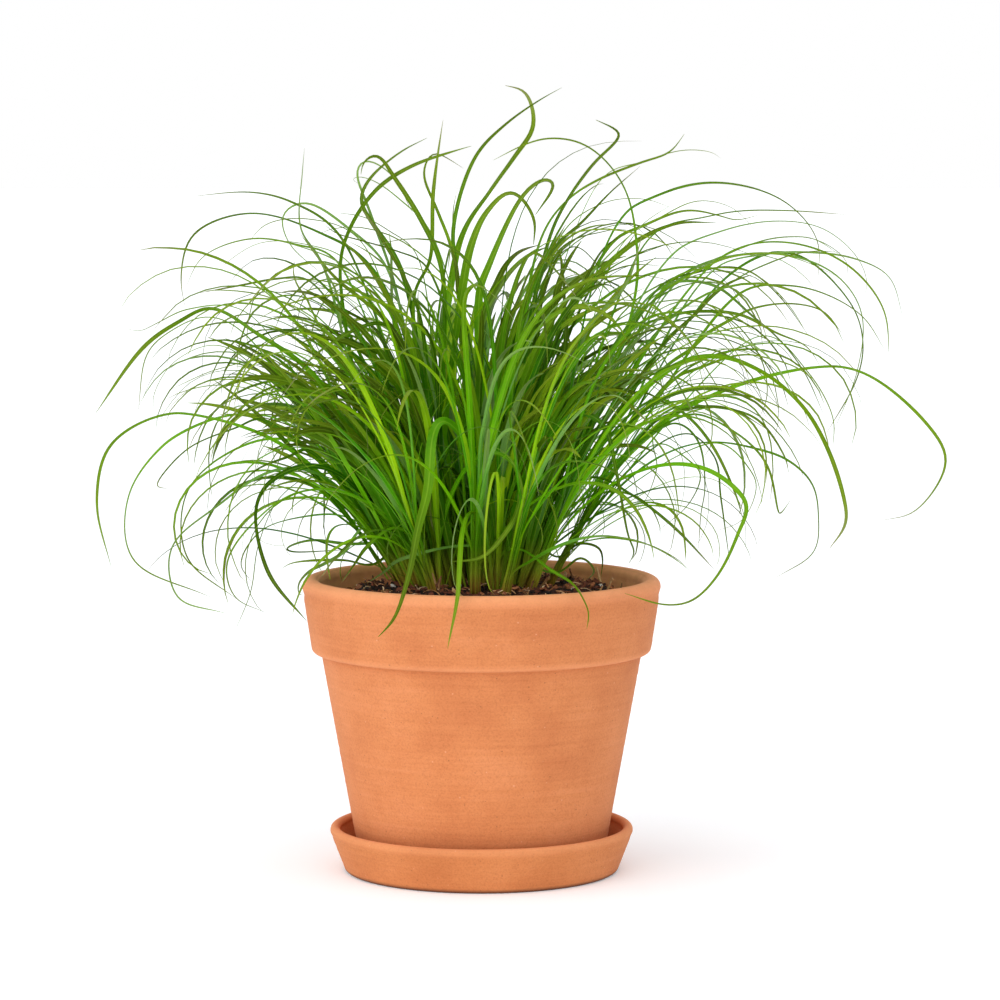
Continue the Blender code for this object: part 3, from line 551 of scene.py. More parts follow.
def fired_clay(name, light, middle, deep):
    """Unglazed earthenware, turned and fired at about 1,000 degrees: matte, with a fine grain.

    Soft patches come from uneven firing, level streaks from turning, and pits and pale grog from the clay.
    A painted contact shadow darkens the last two millimetres above the floor.
    The grain is really 0.1 to 0.3 mm, too fine to show, so it is drawn at 1 mm.
    """
    finish, add = new_finish(name, roughness=0.88, ior=1.5)
    place = add("ShaderNodeTexCoord")["Object"]
    patch = add("ShaderNodeTexNoise", {"Vector": place, "Scale": per_metre(38), "Detail": 4.0})[0]
    level = (per_metre(70), per_metre(70), per_metre(1.9))
    levelled = add("ShaderNodeMapping", {"Vector": place, "Scale": level})[0]
    sockets = {"Vector": levelled, "Scale": 1.0, "Detail": 5.0, "Roughness": 0.6}
    streak = add("ShaderNodeTexNoise", sockets)[0]
    sockets = {"Vector": place, "Scale": per_metre(1.0), "Detail": 3.0, "Roughness": 0.7}
    grain = add("ShaderNodeTexNoise", sockets)[0]
    sockets = {"Vector": place, "Scale": per_metre(7), "Detail": 6.0, "Roughness": 0.65}
    smudge = add("ShaderNodeTexNoise", sockets)[0]

    firing = add("ShaderNodeMath", {"Value": patch, "Value_001": 0.6}, operation="MULTIPLY")[0]
    sums = {"Value": streak, "Value_001": 0.3, "Value_002": firing}
    tone = add("ShaderNodeMath", sums, operation="MULTIPLY_ADD")[0]
    body = add("ShaderNodeValToRGB", {"Fac": tone}, stops=((0.3, deep), (0.46, middle), (0.62, light)))[0]
    specks = ((0.3, "#c9b5a8"), (0.5, "#f2ece8"), (0.72, "#ffffff"))
    speckle = add("ShaderNodeValToRGB", {"Fac": grain}, stops=specks)[0]
    sockets = {"Fac": 0.45, "Color1": body, "Color2": speckle}
    grained = add("ShaderNodeMixRGB", sockets, blend_type="MULTIPLY")[0]
    dusk = add("ShaderNodeValToRGB", {"Fac": smudge}, stops=((0.42, "#ffffff"), (0.66, "#e3c6b4")))[0]
    sockets = {"Fac": 0.15, "Color1": grained, "Color2": dusk}
    smudged = add("ShaderNodeMixRGB", sockets, blend_type="MULTIPLY")[0]

    pit = flecks(add, place, spacing=2.6, channel=0, spread=0.5, least=-0.35)
    pit_share = add("ShaderNodeMath", {"Value": pit, "Value_001": 0.5}, operation="MULTIPLY")[0]
    sockets = {"Fac": pit_share, "Color1": smudged, "Color2": linear("#7a4528")}
    pitted = add("ShaderNodeMixRGB", sockets)[0]
    grog = flecks(add, place, spacing=3.1, channel=1, spread=0.6, least=-0.46)
    grog_share = add("ShaderNodeMath", {"Value": grog, "Value_001": 0.22}, operation="MULTIPLY")[0]
    sockets = {"Fac": grog_share, "Color1": pitted, "Color2": linear("#f7cfae")}
    flecked = add("ShaderNodeMixRGB", sockets)[0]

    # Rubbed wear on the rims, which on the pot's lip is partly a painted highlight, and painted light that
    # makes the pot's inner wall paler all over
    wear_and_light = add("ShaderNodeAttribute", attribute_name="wear_and_light")["Fac"]
    patchy = add("ShaderNodeMath", {"Value": smudge, "Value_001": 0.3}, operation="ADD")[0]
    wear_and_light_share = add("ShaderNodeMath", {"Value": wear_and_light, "Value_001": patchy}, operation="MULTIPLY")[0]
    rubbed_and_lit = add("ShaderNodeMixRGB", {"Fac": wear_and_light_share, "Color1": flecked, "Color2": linear("#ffae7a")})[0]
    # Painted contact shadow: dark brown over the last two millimetres above the floor
    height = add("ShaderNodeSeparateXYZ", {"Vector": place})[2]
    contact_shadow_fade = {"From Min": 0.7 * MM, "From Max": 2.4 * MM, "To Min": 0.85, "To Max": 0.0}
    damp = add("ShaderNodeMapRange", {"Value": height, **contact_shadow_fade})[0]
    contact_shaded = add("ShaderNodeMixRGB", {"Fac": damp, "Color1": rubbed_and_lit, "Color2": linear("#4e2410")})[0]

    sums = {"Value": grain, "Value_001": 0.5, "Value_002": streak}
    tooth = add("ShaderNodeMath", sums, operation="MULTIPLY_ADD")[0]
    sums = {"Value": pit, "Value_001": -0.9, "Value_002": tooth}
    relief = add("ShaderNodeMath", sums, operation="MULTIPLY_ADD")[0]
    return end_finish(finish, contact_shaded, relief, strength=0.55, depth=0.35)


def potting_mix():
    """Moist peat and composted bark: near black where it is wet, red-brown where it has dried."""
    finish, add = new_finish("moist_potting_mix", roughness=0.92, ior=1.4)
    place = add("ShaderNodeTexCoord")["Object"]
    sockets = {"Vector": place, "Scale": per_metre(5), "Detail": 6.0, "Roughness": 0.7}
    clod = add("ShaderNodeTexNoise", sockets)[0]
    sockets = {"Vector": place, "Scale": per_metre(1.1), "Detail": 4.0, "Distortion": 1.2}
    fibre = add("ShaderNodeTexNoise", sockets)[0]
    stops = ((0.3, "#070403"), (0.5, "#180a05"), (0.64, "#33180c"), (0.8, "#5a3018"))
    damp = add("ShaderNodeValToRGB", {"Fac": clod}, stops=stops)[0]
    strands = add("ShaderNodeValToRGB", {"Fac": fibre}, stops=((0.3, "#7a6a60"), (0.7, "#ffffff")))[0]
    sockets = {"Fac": 0.6, "Color1": damp, "Color2": strands}
    colour = add("ShaderNodeMixRGB", sockets, blend_type="MULTIPLY")[0]
    relief = add("ShaderNodeMath", {"Value": clod, "Value_001": fibre}, operation="ADD")[0]
    return end_finish(finish, colour, relief, strength=0.9, depth=1.2)


def loose_matter(name, stops, roughness, grain):
    """Loose matter on the soil. Each bit has its own tone, and a grain of that many millimetres."""
    finish, add = new_finish(name, roughness, ior=1.45)
    place = add("ShaderNodeTexCoord")["Object"]
    own = add("ShaderNodeAttribute", attribute_name="tone")["Fac"]
    texture = add("ShaderNodeTexNoise", {"Vector": place, "Scale": per_metre(grain), "Detail": 4.0})[0]
    share = add("ShaderNodeMath", {"Value": own, "Value_001": 0.6}, operation="MULTIPLY")[0]
    sums = {"Value": texture, "Value_001": 0.5, "Value_002": share}
    tone = add("ShaderNodeMath", sums, operation="MULTIPLY_ADD")[0]
    colour = add("ShaderNodeValToRGB", {"Fac": tone}, stops=stops)[0]
    return end_finish(finish, colour, texture, strength=0.6, depth=0.4)


def sedge_blade():
    """Living sedge blade: a waxy, satin skin over green tissue that lets light through.

    Veins run along it 0.2 mm apart, too fine to show, so they are drawn about four times as coarse. At the
    soil a sheath is red-brown, then straw, then yellow-green, and above that the lower blades are painted a
    darker green as painted shade, fading out 66 mm above the stem's foot. A few blades have a pale painted
    sheen. The tip is olive and dries to grey-brown.
    """
    finish, add = new_finish("waxy_sedge_blade", roughness=0.42, ior=1.45)
    names = ("along", "lift", "tone", "dry", "across")
    along, lift, own, dry, across = (add("ShaderNodeAttribute", attribute_name=name)["Fac"] for name in names)
    place = add("ShaderNodeTexCoord")["Object"]
    cloud = add("ShaderNodeTexNoise", {"Vector": place, "Scale": per_metre(11), "Detail": 3.0})[0]

    tint = add("ShaderNodeMath", {"Value": own, "Value_001": 0.75}, operation="MULTIPLY")[0]
    sums = {"Value": cloud, "Value_001": 0.35, "Value_002": tint}
    shade = add("ShaderNodeMath", sums, operation="MULTIPLY_ADD")[0]
    greens = ((0.1, "#1d5000"), (0.38, "#3f8c00"), (0.66, "#69b000"), (0.95, "#9ccc08"))
    fresh = add("ShaderNodeValToRGB", {"Fac": shade}, stops=greens)[0]
    olive = add("ShaderNodeValToRGB", {"Fac": shade}, stops=((0.1, "#3a4c04"), (0.9, "#758718")))[0]
    sockets = {"Value": along, "From Min": 0.42, "From Max": 0.86, "To Max": 0.9}
    ageing = add("ShaderNodeMapRange", sockets)[0]
    greened = add("ShaderNodeMixRGB", {"Fac": ageing, "Color1": fresh, "Color2": olive})[0]
    # Painted sheen: a pale waxy sheen painted on a few blades, from a quarter of the way along
    sheen_stops = ((0.27, "#000000"), (0.29, "#8c8c8c"), (0.34, "#8c8c8c"), (0.36, "#000000"))
    painted_sheen_mask = add("ShaderNodeValToRGB", {"Fac": own}, stops=sheen_stops)[0]
    risen = add("ShaderNodeMapRange", {"Value": along, "From Min": 0.25, "From Max": 0.5})[0]
    painted_sheen = add("ShaderNodeMath", {"Value": painted_sheen_mask, "Value_001": risen}, operation="MULTIPLY")[0]
    blade = add("ShaderNodeMixRGB", {"Fac": painted_sheen, "Color1": greened, "Color2": linear("#b2d78c")})[0]
    # Sheath colours at the soil, then a darker green that is painted shade low in the plant, fading out by 66
    # mm up
    sheath_and_shade_stops = ((0.02, "#6b3413"), (0.08, "#94702a"), (0.15, "#8a9226"), (0.3, "#4b7608"))
    straw = add("ShaderNodeValToRGB", {"Fac": lift}, stops=sheath_and_shade_stops)[0]
    sockets = {"Value": lift, "From Min": 0.12, "From Max": 0.66, "To Min": 0.9, "To Max": 0.0}
    sheath_and_shade_share = add("ShaderNodeMapRange", sockets)[0]
    sheathed_and_shaded = add("ShaderNodeMixRGB", {"Fac": sheath_and_shade_share, "Color1": blade, "Color2": straw})[0]

    phase = add("ShaderNodeMath", {"Value": across, "Value_001": 13.0}, operation="MULTIPLY")[0]
    vein = add("ShaderNodeMath", {"Value": phase}, operation="SINE")[0]
    stripe = add("ShaderNodeMapRange", {"Value": vein, "From Min": -1.0, "To Min": 0.9})[0]
    sockets = {"Fac": 1.0, "Color1": sheathed_and_shaded, "Color2": stripe}
    veined = add("ShaderNodeMixRGB", sockets, blend_type="MULTIPLY")[0]
    middle = add("ShaderNodeMath", {"Value": across}, operation="ABSOLUTE")[0]
    sockets = {"Value": middle, "From Min": 0.2, "From Max": 0.05, "To Max": 0.3}
    rib = add("ShaderNodeMapRange", sockets)[0]
    ribbed = add("ShaderNodeMixRGB", {"Fac": rib, "Color1": veined, "Color2": linear("#9cc83a")})[0]
    dried = add("ShaderNodeMixRGB", {"Fac": dry, "Color1": ribbed, "Color2": linear("#8d8560")})[0]

    inputs = shader(finish)
    inputs["Specular IOR Level"].default_value = 0.1
    inputs["Subsurface Weight"].default_value = 0.12
    inputs["Subsurface Radius"].default_value = (0.6, 1.0, 0.15)
    inputs["Subsurface Scale"].default_value = 0.9 * MM
    sums = {"Value": vein, "Value_001": 0.2, "Value_002": cloud}
    relief = add("ShaderNodeMath", sums, operation="MULTIPLY_ADD")[0]
    return end_finish(finish, dried, relief, strength=0.3, depth=0.2)


def light_table():
    """Back-lit white acrylic sheet, satin: it glows faintly, so shadows on it stay pale."""
    finish, add = new_finish("backlit_white_acrylic", roughness=0.7, ior=1.49)
    place = add("ShaderNodeTexCoord")["Object"]
    cloud = add("ShaderNodeTexNoise", {"Vector": place, "Scale": per_metre(120), "Detail": 2.0})[0]
    colour = add("ShaderNodeValToRGB", {"Fac": cloud}, stops=((0.3, "#f4f5f6"), (0.7, "#f7f8f8")))[0]
    inputs = shader(finish)
    finish.node_tree.links.new(colour, inputs["Base Color"])
    inputs["Specular IOR Level"].default_value = 0.0
    inputs["Emission Color"].default_value = linear("#ffffff")
    inputs["Emission Strength"].default_value = TABLE_GLOW
    return finish


def new_piece(name, mesh, finish=None):
    """An object for a mesh, linked to the scene."""
    if finish:
        mesh.materials.append(finish)
    piece = bpy.data.objects.new(name, mesh)
    bpy.context.scene.collection.objects.link(piece)
    return piece


def outward(build, mesh):
    """Turns the faces of a build outwards, and ends it as a mesh."""
    bmesh.ops.recalc_face_normals(build, faces=build.faces[:])
    build.to_mesh(mesh)
    build.free()
    return mesh


def smooth(mesh, crease):
    """Smooths a mesh, but for its edges that are steeper than a crease."""
    mesh.shade_smooth()
    mesh.set_sharp_from_angle(angle=math.radians(crease))


def arc(centre, radius, start, end, steps):
    """Points on a round stretch of an outline, between two angles in degrees."""
    angles = np.radians(np.linspace(start, end, steps + 1))
    return [(centre[0] + radius * math.cos(a), centre[1] + radius * math.sin(a)) for a in angles]


def divided(outline):
    """An outline with its straight stretches split into short steps."""
    points = [outline[0]]
    for (r0, z0), (r1, z1) in zip(outline, outline[1:]):
        steps = max(1, round(math.hypot(r1 - r0, z1 - z0) / OUTLINE_STEP))
        points += [(r0 + (r1 - r0) * i / steps, z0 + (z1 - z0) * i / steps) for i in range(1, steps + 1)]
    return points


def throwing_marks(angle, height):
    """How far the wall stands proud: fine level ridges that come and go, and a lean out of round."""
    ridges = sum(math.sin(math.tau * height / s + RIDGE_PHASE * s) for s in RIDGE_SPACINGS) * RIDGE_HEIGHT
    usual, around, pitch = RIDGE_CHANGE
    change = noise.noise(Vector((math.cos(angle) * around, math.sin(angle) * around, height / pitch)))
    oval = OUT_OF_ROUND * math.sin(2 * angle + OVAL_TURN) * math.sin(height / OVAL_PITCH)
    return ridges * (usual + change) + oval


def level_band(height, band):
    """Depth or strength of a soft level band at a height."""
    middle, reach, strength = band
    return strength * math.exp(-(((height - middle) / reach) ** 2))


def rim_rub_and_highlight(height, top, wear):
    """How rubbed a rim is at a height. On the pot's lip this is partly a painted highlight."""
    strength, fade = wear
    return strength * max(0.0, (height - top + fade) / fade)


def turned(name, outline, finish, wall, wear_and_light):
    """A closed turned piece. wall gives how far a point moves out; the last argument, wear and painted light.
    """
    points = divided(outline)
    closed = outline[0] == outline[-1]
    rows = points[:-1] if closed else points
    verts = []
    for side in range(SIDES):
        angle = math.tau * side / SIDES
        for r, z in rows:
            out = r + wall(angle, r, z)
            verts.append((out * math.cos(angle) * MM, out * math.sin(angle) * MM, z * MM))
    count = len(rows)
    steps = count if closed else count - 1
    faces = []
    for side in range(SIDES):
        here, there = side * count, (side + 1) % SIDES * count
        for low in range(steps):
            high = (low + 1) % count
            faces.append((here + low, there + low, there + high, here + high))
    if not closed:
        faces += [[side * count + end for side in range(SIDES)] for end in (0, count - 1)]
    mesh = bpy.data.meshes.new(name)
    mesh.from_pydata(verts, [], faces)
    build = bmesh.new()
    build.from_mesh(mesh)
    outward(build, mesh)
    rubbed_and_lit = mesh.attributes.new("wear_and_light", "FLOAT", "POINT")
    rubbed_and_lit.data.foreach_set("value", [wear_and_light(r, z) for _ in range(SIDES) for r, z in rows])
    smooth(mesh, CLAY_CREASE)
    return new_piece(name, mesh, finish)


def turned_saucer(finish):
    """The dish, with a rounded rim and a soft groove under it."""
    bead = (SAUCER_RADIUS - SAUCER_BEAD, SAUCER_HEIGHT - SAUCER_BEAD)
    corner = (FOOT_RADIUS, FOOT_CORNER)
    fillet = (SAUCER_FLOOR_RADIUS - SAUCER_FILLET, SAUCER_FLOOR + SAUCER_FILLET)
    outline = [(FOOT_RADIUS / 2, 0.0)]
    outline += arc(corner, FOOT_CORNER, -90, -20, 8)
    outline += arc(bead, SAUCER_BEAD, -20, 200, 20)
    outline += arc(fillet, SAUCER_FILLET, -20, -90, 8)
    outline += [(SAUCER_FLOOR_RADIUS / 2, SAUCER_FLOOR)]

    def wall(angle, radius, height):
        outside = radius > FOOT_RADIUS + (height - FOOT_CORNER) * SAUCER_FLARE
        rising = SAUCER_FLOOR + SAUCER_FILLET < height < SAUCER_HEIGHT - UNMARKED_RIM
        return throwing_marks(angle, height) * rising - outside * level_band(height, SAUCER_GROOVE)

    def wear_and_light(radius, height):
        return rim_rub_and_highlight(height, SAUCER_HEIGHT, SAUCER_WEAR)

    return turned("turned_saucer", outline, finish, wall, wear_and_light)


def pot_wall_radius(height):
    """Inner radius of the pot at a height: a cone from its floor to its lip."""
    floor = POT_BASE + POT_FLOOR
    lip_radius = POT_RADIUS - 2 * LIP_BEAD
    share = (height - floor) / (POT_HEIGHT - LIP_BEAD - floor)
    return POT_FLOOR_RADIUS + (lip_radius - POT_FLOOR_RADIUS) * share


def turned_pot(finish):
    """The flower pot, with a soft groove under its lip and the ridges of its turning."""
    floor = POT_BASE + POT_FLOOR
    lip = (POT_RADIUS - LIP_BEAD, POT_HEIGHT - LIP_BEAD)
    base = (POT_BASE_RADIUS - POT_CORNER, POT_BASE + POT_CORNER)
    outline = [(DRAIN_RADIUS, POT_BASE)]
    outline += arc(base, POT_CORNER, -90, -10, 8)
    outline += arc((BODY_TOP_RADIUS + STEP_ROUND, COLLAR_BOTTOM - STEP_ROUND), STEP_ROUND, 180, 90, 6)
    corner = (COLLAR_BOTTOM_RADIUS - COLLAR_CORNER, COLLAR_BOTTOM + COLLAR_CORNER)
    outline += arc(corner, COLLAR_CORNER, -90, -8, 8)
    outline += arc(lip, LIP_BEAD, -8, 188, 24)
    outline += [(POT_FLOOR_RADIUS, floor), (DRAIN_RADIUS, floor), (DRAIN_RADIUS, POT_BASE)]

    def wall(angle, radius, height):
        rising = floor < height < POT_HEIGHT - UNMARKED_RIM
        outside = radius > pot_wall_radius(height) + LIP_BEAD
        return throwing_marks(angle, height) * rising * outside - outside * level_band(height, LIP_GROOVE)

    def wear_and_light(radius, height):
        # Painted light: the inner wall is painted paler all over, against the shade the plant casts into the
        # pot
        painted_light_wall = height > COLLAR_BOTTOM and radius < pot_wall_radius(height) + INNER_WALL_ROOM
        on_collar = radius > (BODY_TOP_RADIUS + COLLAR_BOTTOM_RADIUS) / 2
        rim = max(rim_rub_and_highlight(height, POT_HEIGHT, LIP_WEAR_AND_HIGHLIGHT), INNER_WALL_PAINTED_LIGHT * painted_light_wall)
        return rim + on_collar * level_band(height, COLLAR_WEAR)

    return turned("turned_pot", outline, finish, wall, wear_and_light)


def soil_height(x, y):
    """Height of the soil: a mound round the crown, a swell, lumps, and a fall towards the wall."""
    swell = SOIL_SWELL * math.sin(SOIL_SWELL_TURN * x + 1) * math.cos(SOIL_SWELL_TURN * y)
    lumps = sum(size * noise.noise(Vector((x / pitch, y / pitch, pitch))) for pitch, size in SOIL_LUMPS)
    start, end, fall = SOIL_FALL
    share = min(1.0, max(0.0, (math.hypot(x, y) - start) / (end - start)))
    return SOIL_TOP + SOIL_MOUND + swell + lumps - fall * share**2 * (3 - 2 * share)


def soil_disc():
    """The soil's lumpy top as a mesh of rings, which litter is then strewn on."""
    verts = [(0.0, 0.0, soil_height(0.0, 0.0) * MM)]
    for ring in range(1, SOIL_RINGS + 1):
        r = SOIL_RADIUS * ring / SOIL_RINGS
        for side in range(SIDES):
            angle = math.tau * side / SIDES
            x, y = r * math.cos(angle), r * math.sin(angle)
            verts.append((x * MM, y * MM, soil_height(x, y) * MM))
    faces = [(0, 1 + side, 1 + (side + 1) % SIDES) for side in range(SIDES)]
    for ring in range(SOIL_RINGS - 1):
        low = 1 + ring * SIDES
        for side in range(SIDES):
            after = (side + 1) % SIDES
            faces.append((low + side, low + SIDES + side, low + SIDES + after, low + after))
    mesh = bpy.data.meshes.new("soil_top")
    mesh.from_pydata(verts, [], faces)
    mesh.shade_smooth()
    return mesh


def soil_body(finish):
    """The soil as a closed solid: its lumpy top, its side against the pot and its flat bottom."""
    build = bmesh.new()
    build.from_mesh(soil_disc())
    rim = [edge for edge in build.edges if edge.is_boundary]
    sides = bmesh.ops.extrude_edge_only(build, edges=rim)["geom"]
    bottom = POT_BASE + POT_FLOOR + TOUCH_GAP
    shrink = (pot_wall_radius(bottom) - TOUCH_GAP) / SOIL_RADIUS
    for vert in (item for item in sides if isinstance(item, bmesh.types.BMVert)):
        vert.co = (vert.co.x * shrink, vert.co.y * shrink, bottom * MM)
    bmesh.ops.holes_fill(build, edges=[edge for edge in build.edges if edge.is_boundary], sides=0)
    mesh = outward(build, bpy.data.meshes.new("potting_soil"))
    smooth(mesh, SOIL_CREASE)
    return new_piece("potting_soil", mesh, finish)


def new_tree(name, inputs):
    """A tree of Geometry Nodes with a mesh in, a mesh out and named inputs."""
    tree = bpy.data.node_groups.new(name, "GeometryNodeTree")
    tree.interface.new_socket("Mesh", in_out="INPUT", socket_type="NodeSocketGeometry")
    tree.interface.new_socket("Mesh", in_out="OUTPUT", socket_type="NodeSocketGeometry")
    for label, kind in inputs:
        tree.interface.new_socket(label, in_out="INPUT", socket_type=kind)
    return tree, node(tree, "NodeGroupInput")


def end_tree(tree, shape, finish):
    """Ends a tree: instances made real, then the material."""
    real = node(tree, "GeometryNodeRealizeInstances", {"Geometry": shape})[0]
    painted = node(tree, "GeometryNodeSetMaterial", {"Geometry": real, "Material": finish})[0]
    node(tree, "NodeGroupOutput", {"Mesh": painted})


def grown(name, tree, mesh, values):
    """A plain mesh piece that a tree makes from a mesh, with its inputs set first."""
    piece = new_piece(name, mesh)
    step = piece.modifiers.new("growth", "NODES")
    for item in tree.interface.items_tree:
        if item.item_type == "SOCKET" and item.in_out == "INPUT" and item.name in values:
            values[item.identifier] = values.pop(item.name)
    step.node_group = tree
    for identifier, value in values.items():
        step[identifier] = value
    depsgraph = bpy.context.evaluated_depsgraph_get()
    made = bpy.data.meshes.new_from_object(
        piece.evaluated_get(depsgraph), preserve_all_data_layers=True, depsgraph=depsgraph
    )
    piece.modifiers.clear()
    piece.data = made
    bpy.data.meshes.remove(mesh)
    return piece


def litter_tree():
    """Strews the shapes of a collection over a surface, at random sizes and turns."""
    inputs = (
        ("Shapes", "NodeSocketCollection"),
        ("Density", "NodeSocketFloat"),
        ("Smallest", "NodeSocketFloat"),
        ("Largest", "NodeSocketFloat"),
        ("Tilt", "NodeSocketFloat"),
        ("Seed", "NodeSocketInt"),
        ("Material", "NodeSocketMaterial"),
    )
    tree, given = new_tree("soil_litter", inputs)
    add = partial(node, tree)
    seed = given["Seed"]
    sockets = {"Mesh": given["Mesh"], "Density": given["Density"], "Seed": seed}
    points = add("GeometryNodeDistributePointsOnFaces", sockets)["Points"]
    sockets = {"Collection": given["Shapes"], "Separate Children": True, "Reset Children": True}
    shapes = add("GeometryNodeCollectionInfo", sockets)[0]
    most = add("ShaderNodeCombineXYZ", {"X": given["Tilt"], "Y": given["Tilt"], "Z": math.pi})[0]
    least = add("ShaderNodeVectorMath", {"Vector": most, "Scale": -1.0}, operation="SCALE")[0]
    sockets = {"Min": least, "Max": most, "Seed": seed}
    turn = add("FunctionNodeRandomValue", sockets, data_type="FLOAT_VECTOR")[0]
    sockets = {"Min_001": given["Smallest"], "Max_001": given["Largest"], "Seed": seed}
    size = add("FunctionNodeRandomValue", sockets, data_type="FLOAT")[1]
    pick = add("FunctionNodeRandomValue", {"Max_002": 100, "Seed": seed}, data_type="INT")[2]
    sockets = {
        "Points": points,
        "Instance": shapes,
        "Pick Instance": True,
        "Instance Index": pick,
        "Rotation": turn,
        "Scale": size,
    }
    placed = add("GeometryNodeInstanceOnPoints", sockets)[0]
    tone = add("FunctionNodeRandomValue", {"Seed": seed}, data_type="FLOAT")[1]
    sockets = {"Geometry": placed, "Name": "tone", "Value": tone}
    toned = add("GeometryNodeStoreNamedAttribute", sockets, data_type="FLOAT", domain="INSTANCE")[0]
    end_tree(tree, toned, given["Material"])
    return tree


def blade_tree():
    """Sweeps a keeled section along strands of edges, which carry its width, frame and fold."""
    inputs = (("Thickness", "NodeSocketFloat"), ("Material", "NodeSocketMaterial"))
    tree, given = new_tree("keeled_blades", inputs)
    add = partial(node, tree)
    fields = (("half", "FLOAT"), ("fold", "FLOAT"), ("across", "FLOAT"))
    fields += (("side", "FLOAT_VECTOR"), ("up", "FLOAT_VECTOR"))
    half, fold, across, side, up = (
        add("GeometryNodeInputNamedAttribute", {"Name": name}, data_type=kind)["Attribute"]
        for name, kind in fields
    )

    strands = add("GeometryNodeMeshToCurve", {"Mesh": given["Mesh"]})[0]
    framed = add("GeometryNodeSetCurveNormal", {"Curve": strands, "Normal": side}, mode="FREE")[0]
    diamond = add("GeometryNodeCurvePrimitiveCircle", {"Resolution": 4, "Radius": 1.0})[0]
    corner = add("ShaderNodeSeparateXYZ", {"Vector": add("GeometryNodeInputPosition")[0]})
    sockets = {"Value": corner["Y"], "Value_001": given["Thickness"]}
    thin = add("ShaderNodeMath", sockets, operation="MULTIPLY")[0]
    flat = add("ShaderNodeCombineXYZ", {"X": corner["X"], "Y": thin})[0]
    section = add("GeometryNodeSetPosition", {"Geometry": diamond, "Position": flat})[0]
    sockets = {"Geometry": section, "Name": "across", "Value": corner["X"]}
    marked = add("GeometryNodeStoreNamedAttribute", sockets, data_type="FLOAT", domain="POINT")[0]
    sockets = {"Curve": framed, "Profile Curve": marked, "Scale": half, "Fill Caps": True}
    swept = add("GeometryNodeCurveToMesh", sockets)[0]

    off_middle = add("ShaderNodeMath", {"Value": across}, operation="ABSOLUTE")[0]
    steep = add("ShaderNodeMath", {"Value": half, "Value_001": fold}, operation="MULTIPLY")[0]
    rise = add("ShaderNodeMath", {"Value": off_middle, "Value_001": steep}, operation="MULTIPLY")[0]
    lifted = add("ShaderNodeVectorMath", {"Vector": up, "Scale": rise}, operation="SCALE")[0]
    folded = add("GeometryNodeSetPosition", {"Geometry": swept, "Offset": lifted})[0]
    end_tree(tree, folded, given["Material"])
    return tree


def shape_collection(name, meshes):
    """A collection of shapes for the litter, which isn't in the scene."""
    shapes = bpy.data.collections.new(name)
    for number, mesh in enumerate(meshes):
        shapes.objects.link(bpy.data.objects.new(f"{name}_{number + 1}", mesh))
    return shapes


def lump(draw, detail, stretch, rough):
    """A rough lump one unit across: a ball squeezed and dented."""
    build = bmesh.new()
    bmesh.ops.create_icosphere(build, subdivisions=detail, radius=0.5)
    for vert in build.verts:
        vert.co *= 1 + draw.uniform(-rough, rough)
        vert.co = Vector([c * s for c, s in zip(vert.co, stretch)]) * MM
    return outward(build, bpy.data.meshes.new("lump"))


def chip(draw):
    """A splinter of bark one unit long, ragged at its ends."""
    build = bmesh.new()
    bmesh.ops.create_grid(build, x_segments=4, y_segments=2, size=0.5)
    solid = bmesh.ops.extrude_face_region(build, geom=build.faces[:])["geom"]
    for vert in (item for item in solid if isinstance(item, bmesh.types.BMVert)):
        vert.co.z += CHIP_THICKNESS
    width = draw.uniform(0.3, 0.55)
    bend = draw.uniform(-0.25, 0.25)
    for vert in build.verts:
        ragged = Vector(draw.uniform(-CHIP_ROUGH, CHIP_ROUGH, 3))
        vert.co = Vector((vert.co.x, vert.co.y * width, vert.co.z + bend * vert.co.x**2)) + ragged
        vert.co *= MM
    return outward(build, bpy.data.meshes.new("chip"))


def rod(name, rings):
    """A rod closed at both ends, through rings of corners in units."""
    build = bmesh.new()
    rings = [[build.verts.new(corner * MM) for corner in ring] for ring in rings]
    for low, high in zip(rings, rings[1:]):
        for i in range(len(low)):
            after = (i + 1) % len(low)
            build.faces.new((low[i], low[after], high[after], high[i]))
    build.faces.new(rings[0])
    build.faces.new(rings[-1])
    return outward(build, bpy.data.meshes.new(name))


def rootlet(draw):
    """A dry rootlet one unit long: a thin curled thread."""
    bend, sway = draw.uniform(0.6, 2.6), draw.uniform(-0.15, 0.15)
    thin, swelling = ROOTLET_RADII
    level = Vector((0.0, 1.0, 0.0))
    rings = []
    for step in range(ROOTLET_STEPS + 1):
        share = step / ROOTLET_STEPS
        turn = bend * (share - 0.5)
        centre = Vector((math.sin(turn), sway * math.sin(3 * share), math.cos(turn) - 0.95)) / bend
        radius = thin + swelling * math.sin(math.pi * share)
        out = Vector((math.sin(turn), 0.0, math.cos(turn)))
        rings.append([centre + radius * (math.cos(a) * out + math.sin(a) * level) for a in ROOTLET_CORNERS])
    return rod("rootlet", rings)


def stub(draw):
    """The foot of an old stalk one unit tall: a bent, tapering rod, torn off aslant at its top."""
    bend, slant = draw.uniform(-0.3, 0.3), draw.uniform(0.4, 1.4)
    thick, taper, flatness = STUB_RADII
    angles = np.arange(STUB_SIDES) * math.tau / STUB_SIDES
    rings = []
    for height in STUB_HEIGHTS:
        radius = thick - taper * height
        torn = slant * (height == STUB_HEIGHTS[-1])
        corners = [(radius * math.cos(a), radius * math.sin(a)) for a in angles]
        rings.append([Vector((bend * height**2 + x, flatness * y, height + torn * x)) for x, y in corners])
    return rod("stub", rings)


def litter(name, tree, shapes, sizes, seed, finish):
    """One kind of litter over the whole soil, as one piece."""
    density, smallest, largest, tilt = sizes
    values = {
        "Shapes": shapes,
        "Density": density / SQUARE_CM,
        "Smallest": smallest,
        "Largest": largest,
        "Tilt": math.radians(tilt),
        "Seed": seed,
        "Material": finish,
    }
    piece = grown(name, tree, soil_disc(), values)
    smooth(piece.data, LITTER_CREASE)
    for shape in list(shapes.objects):
        bpy.data.meshes.remove(shape.data)
    bpy.data.collections.remove(shapes)
    return piece


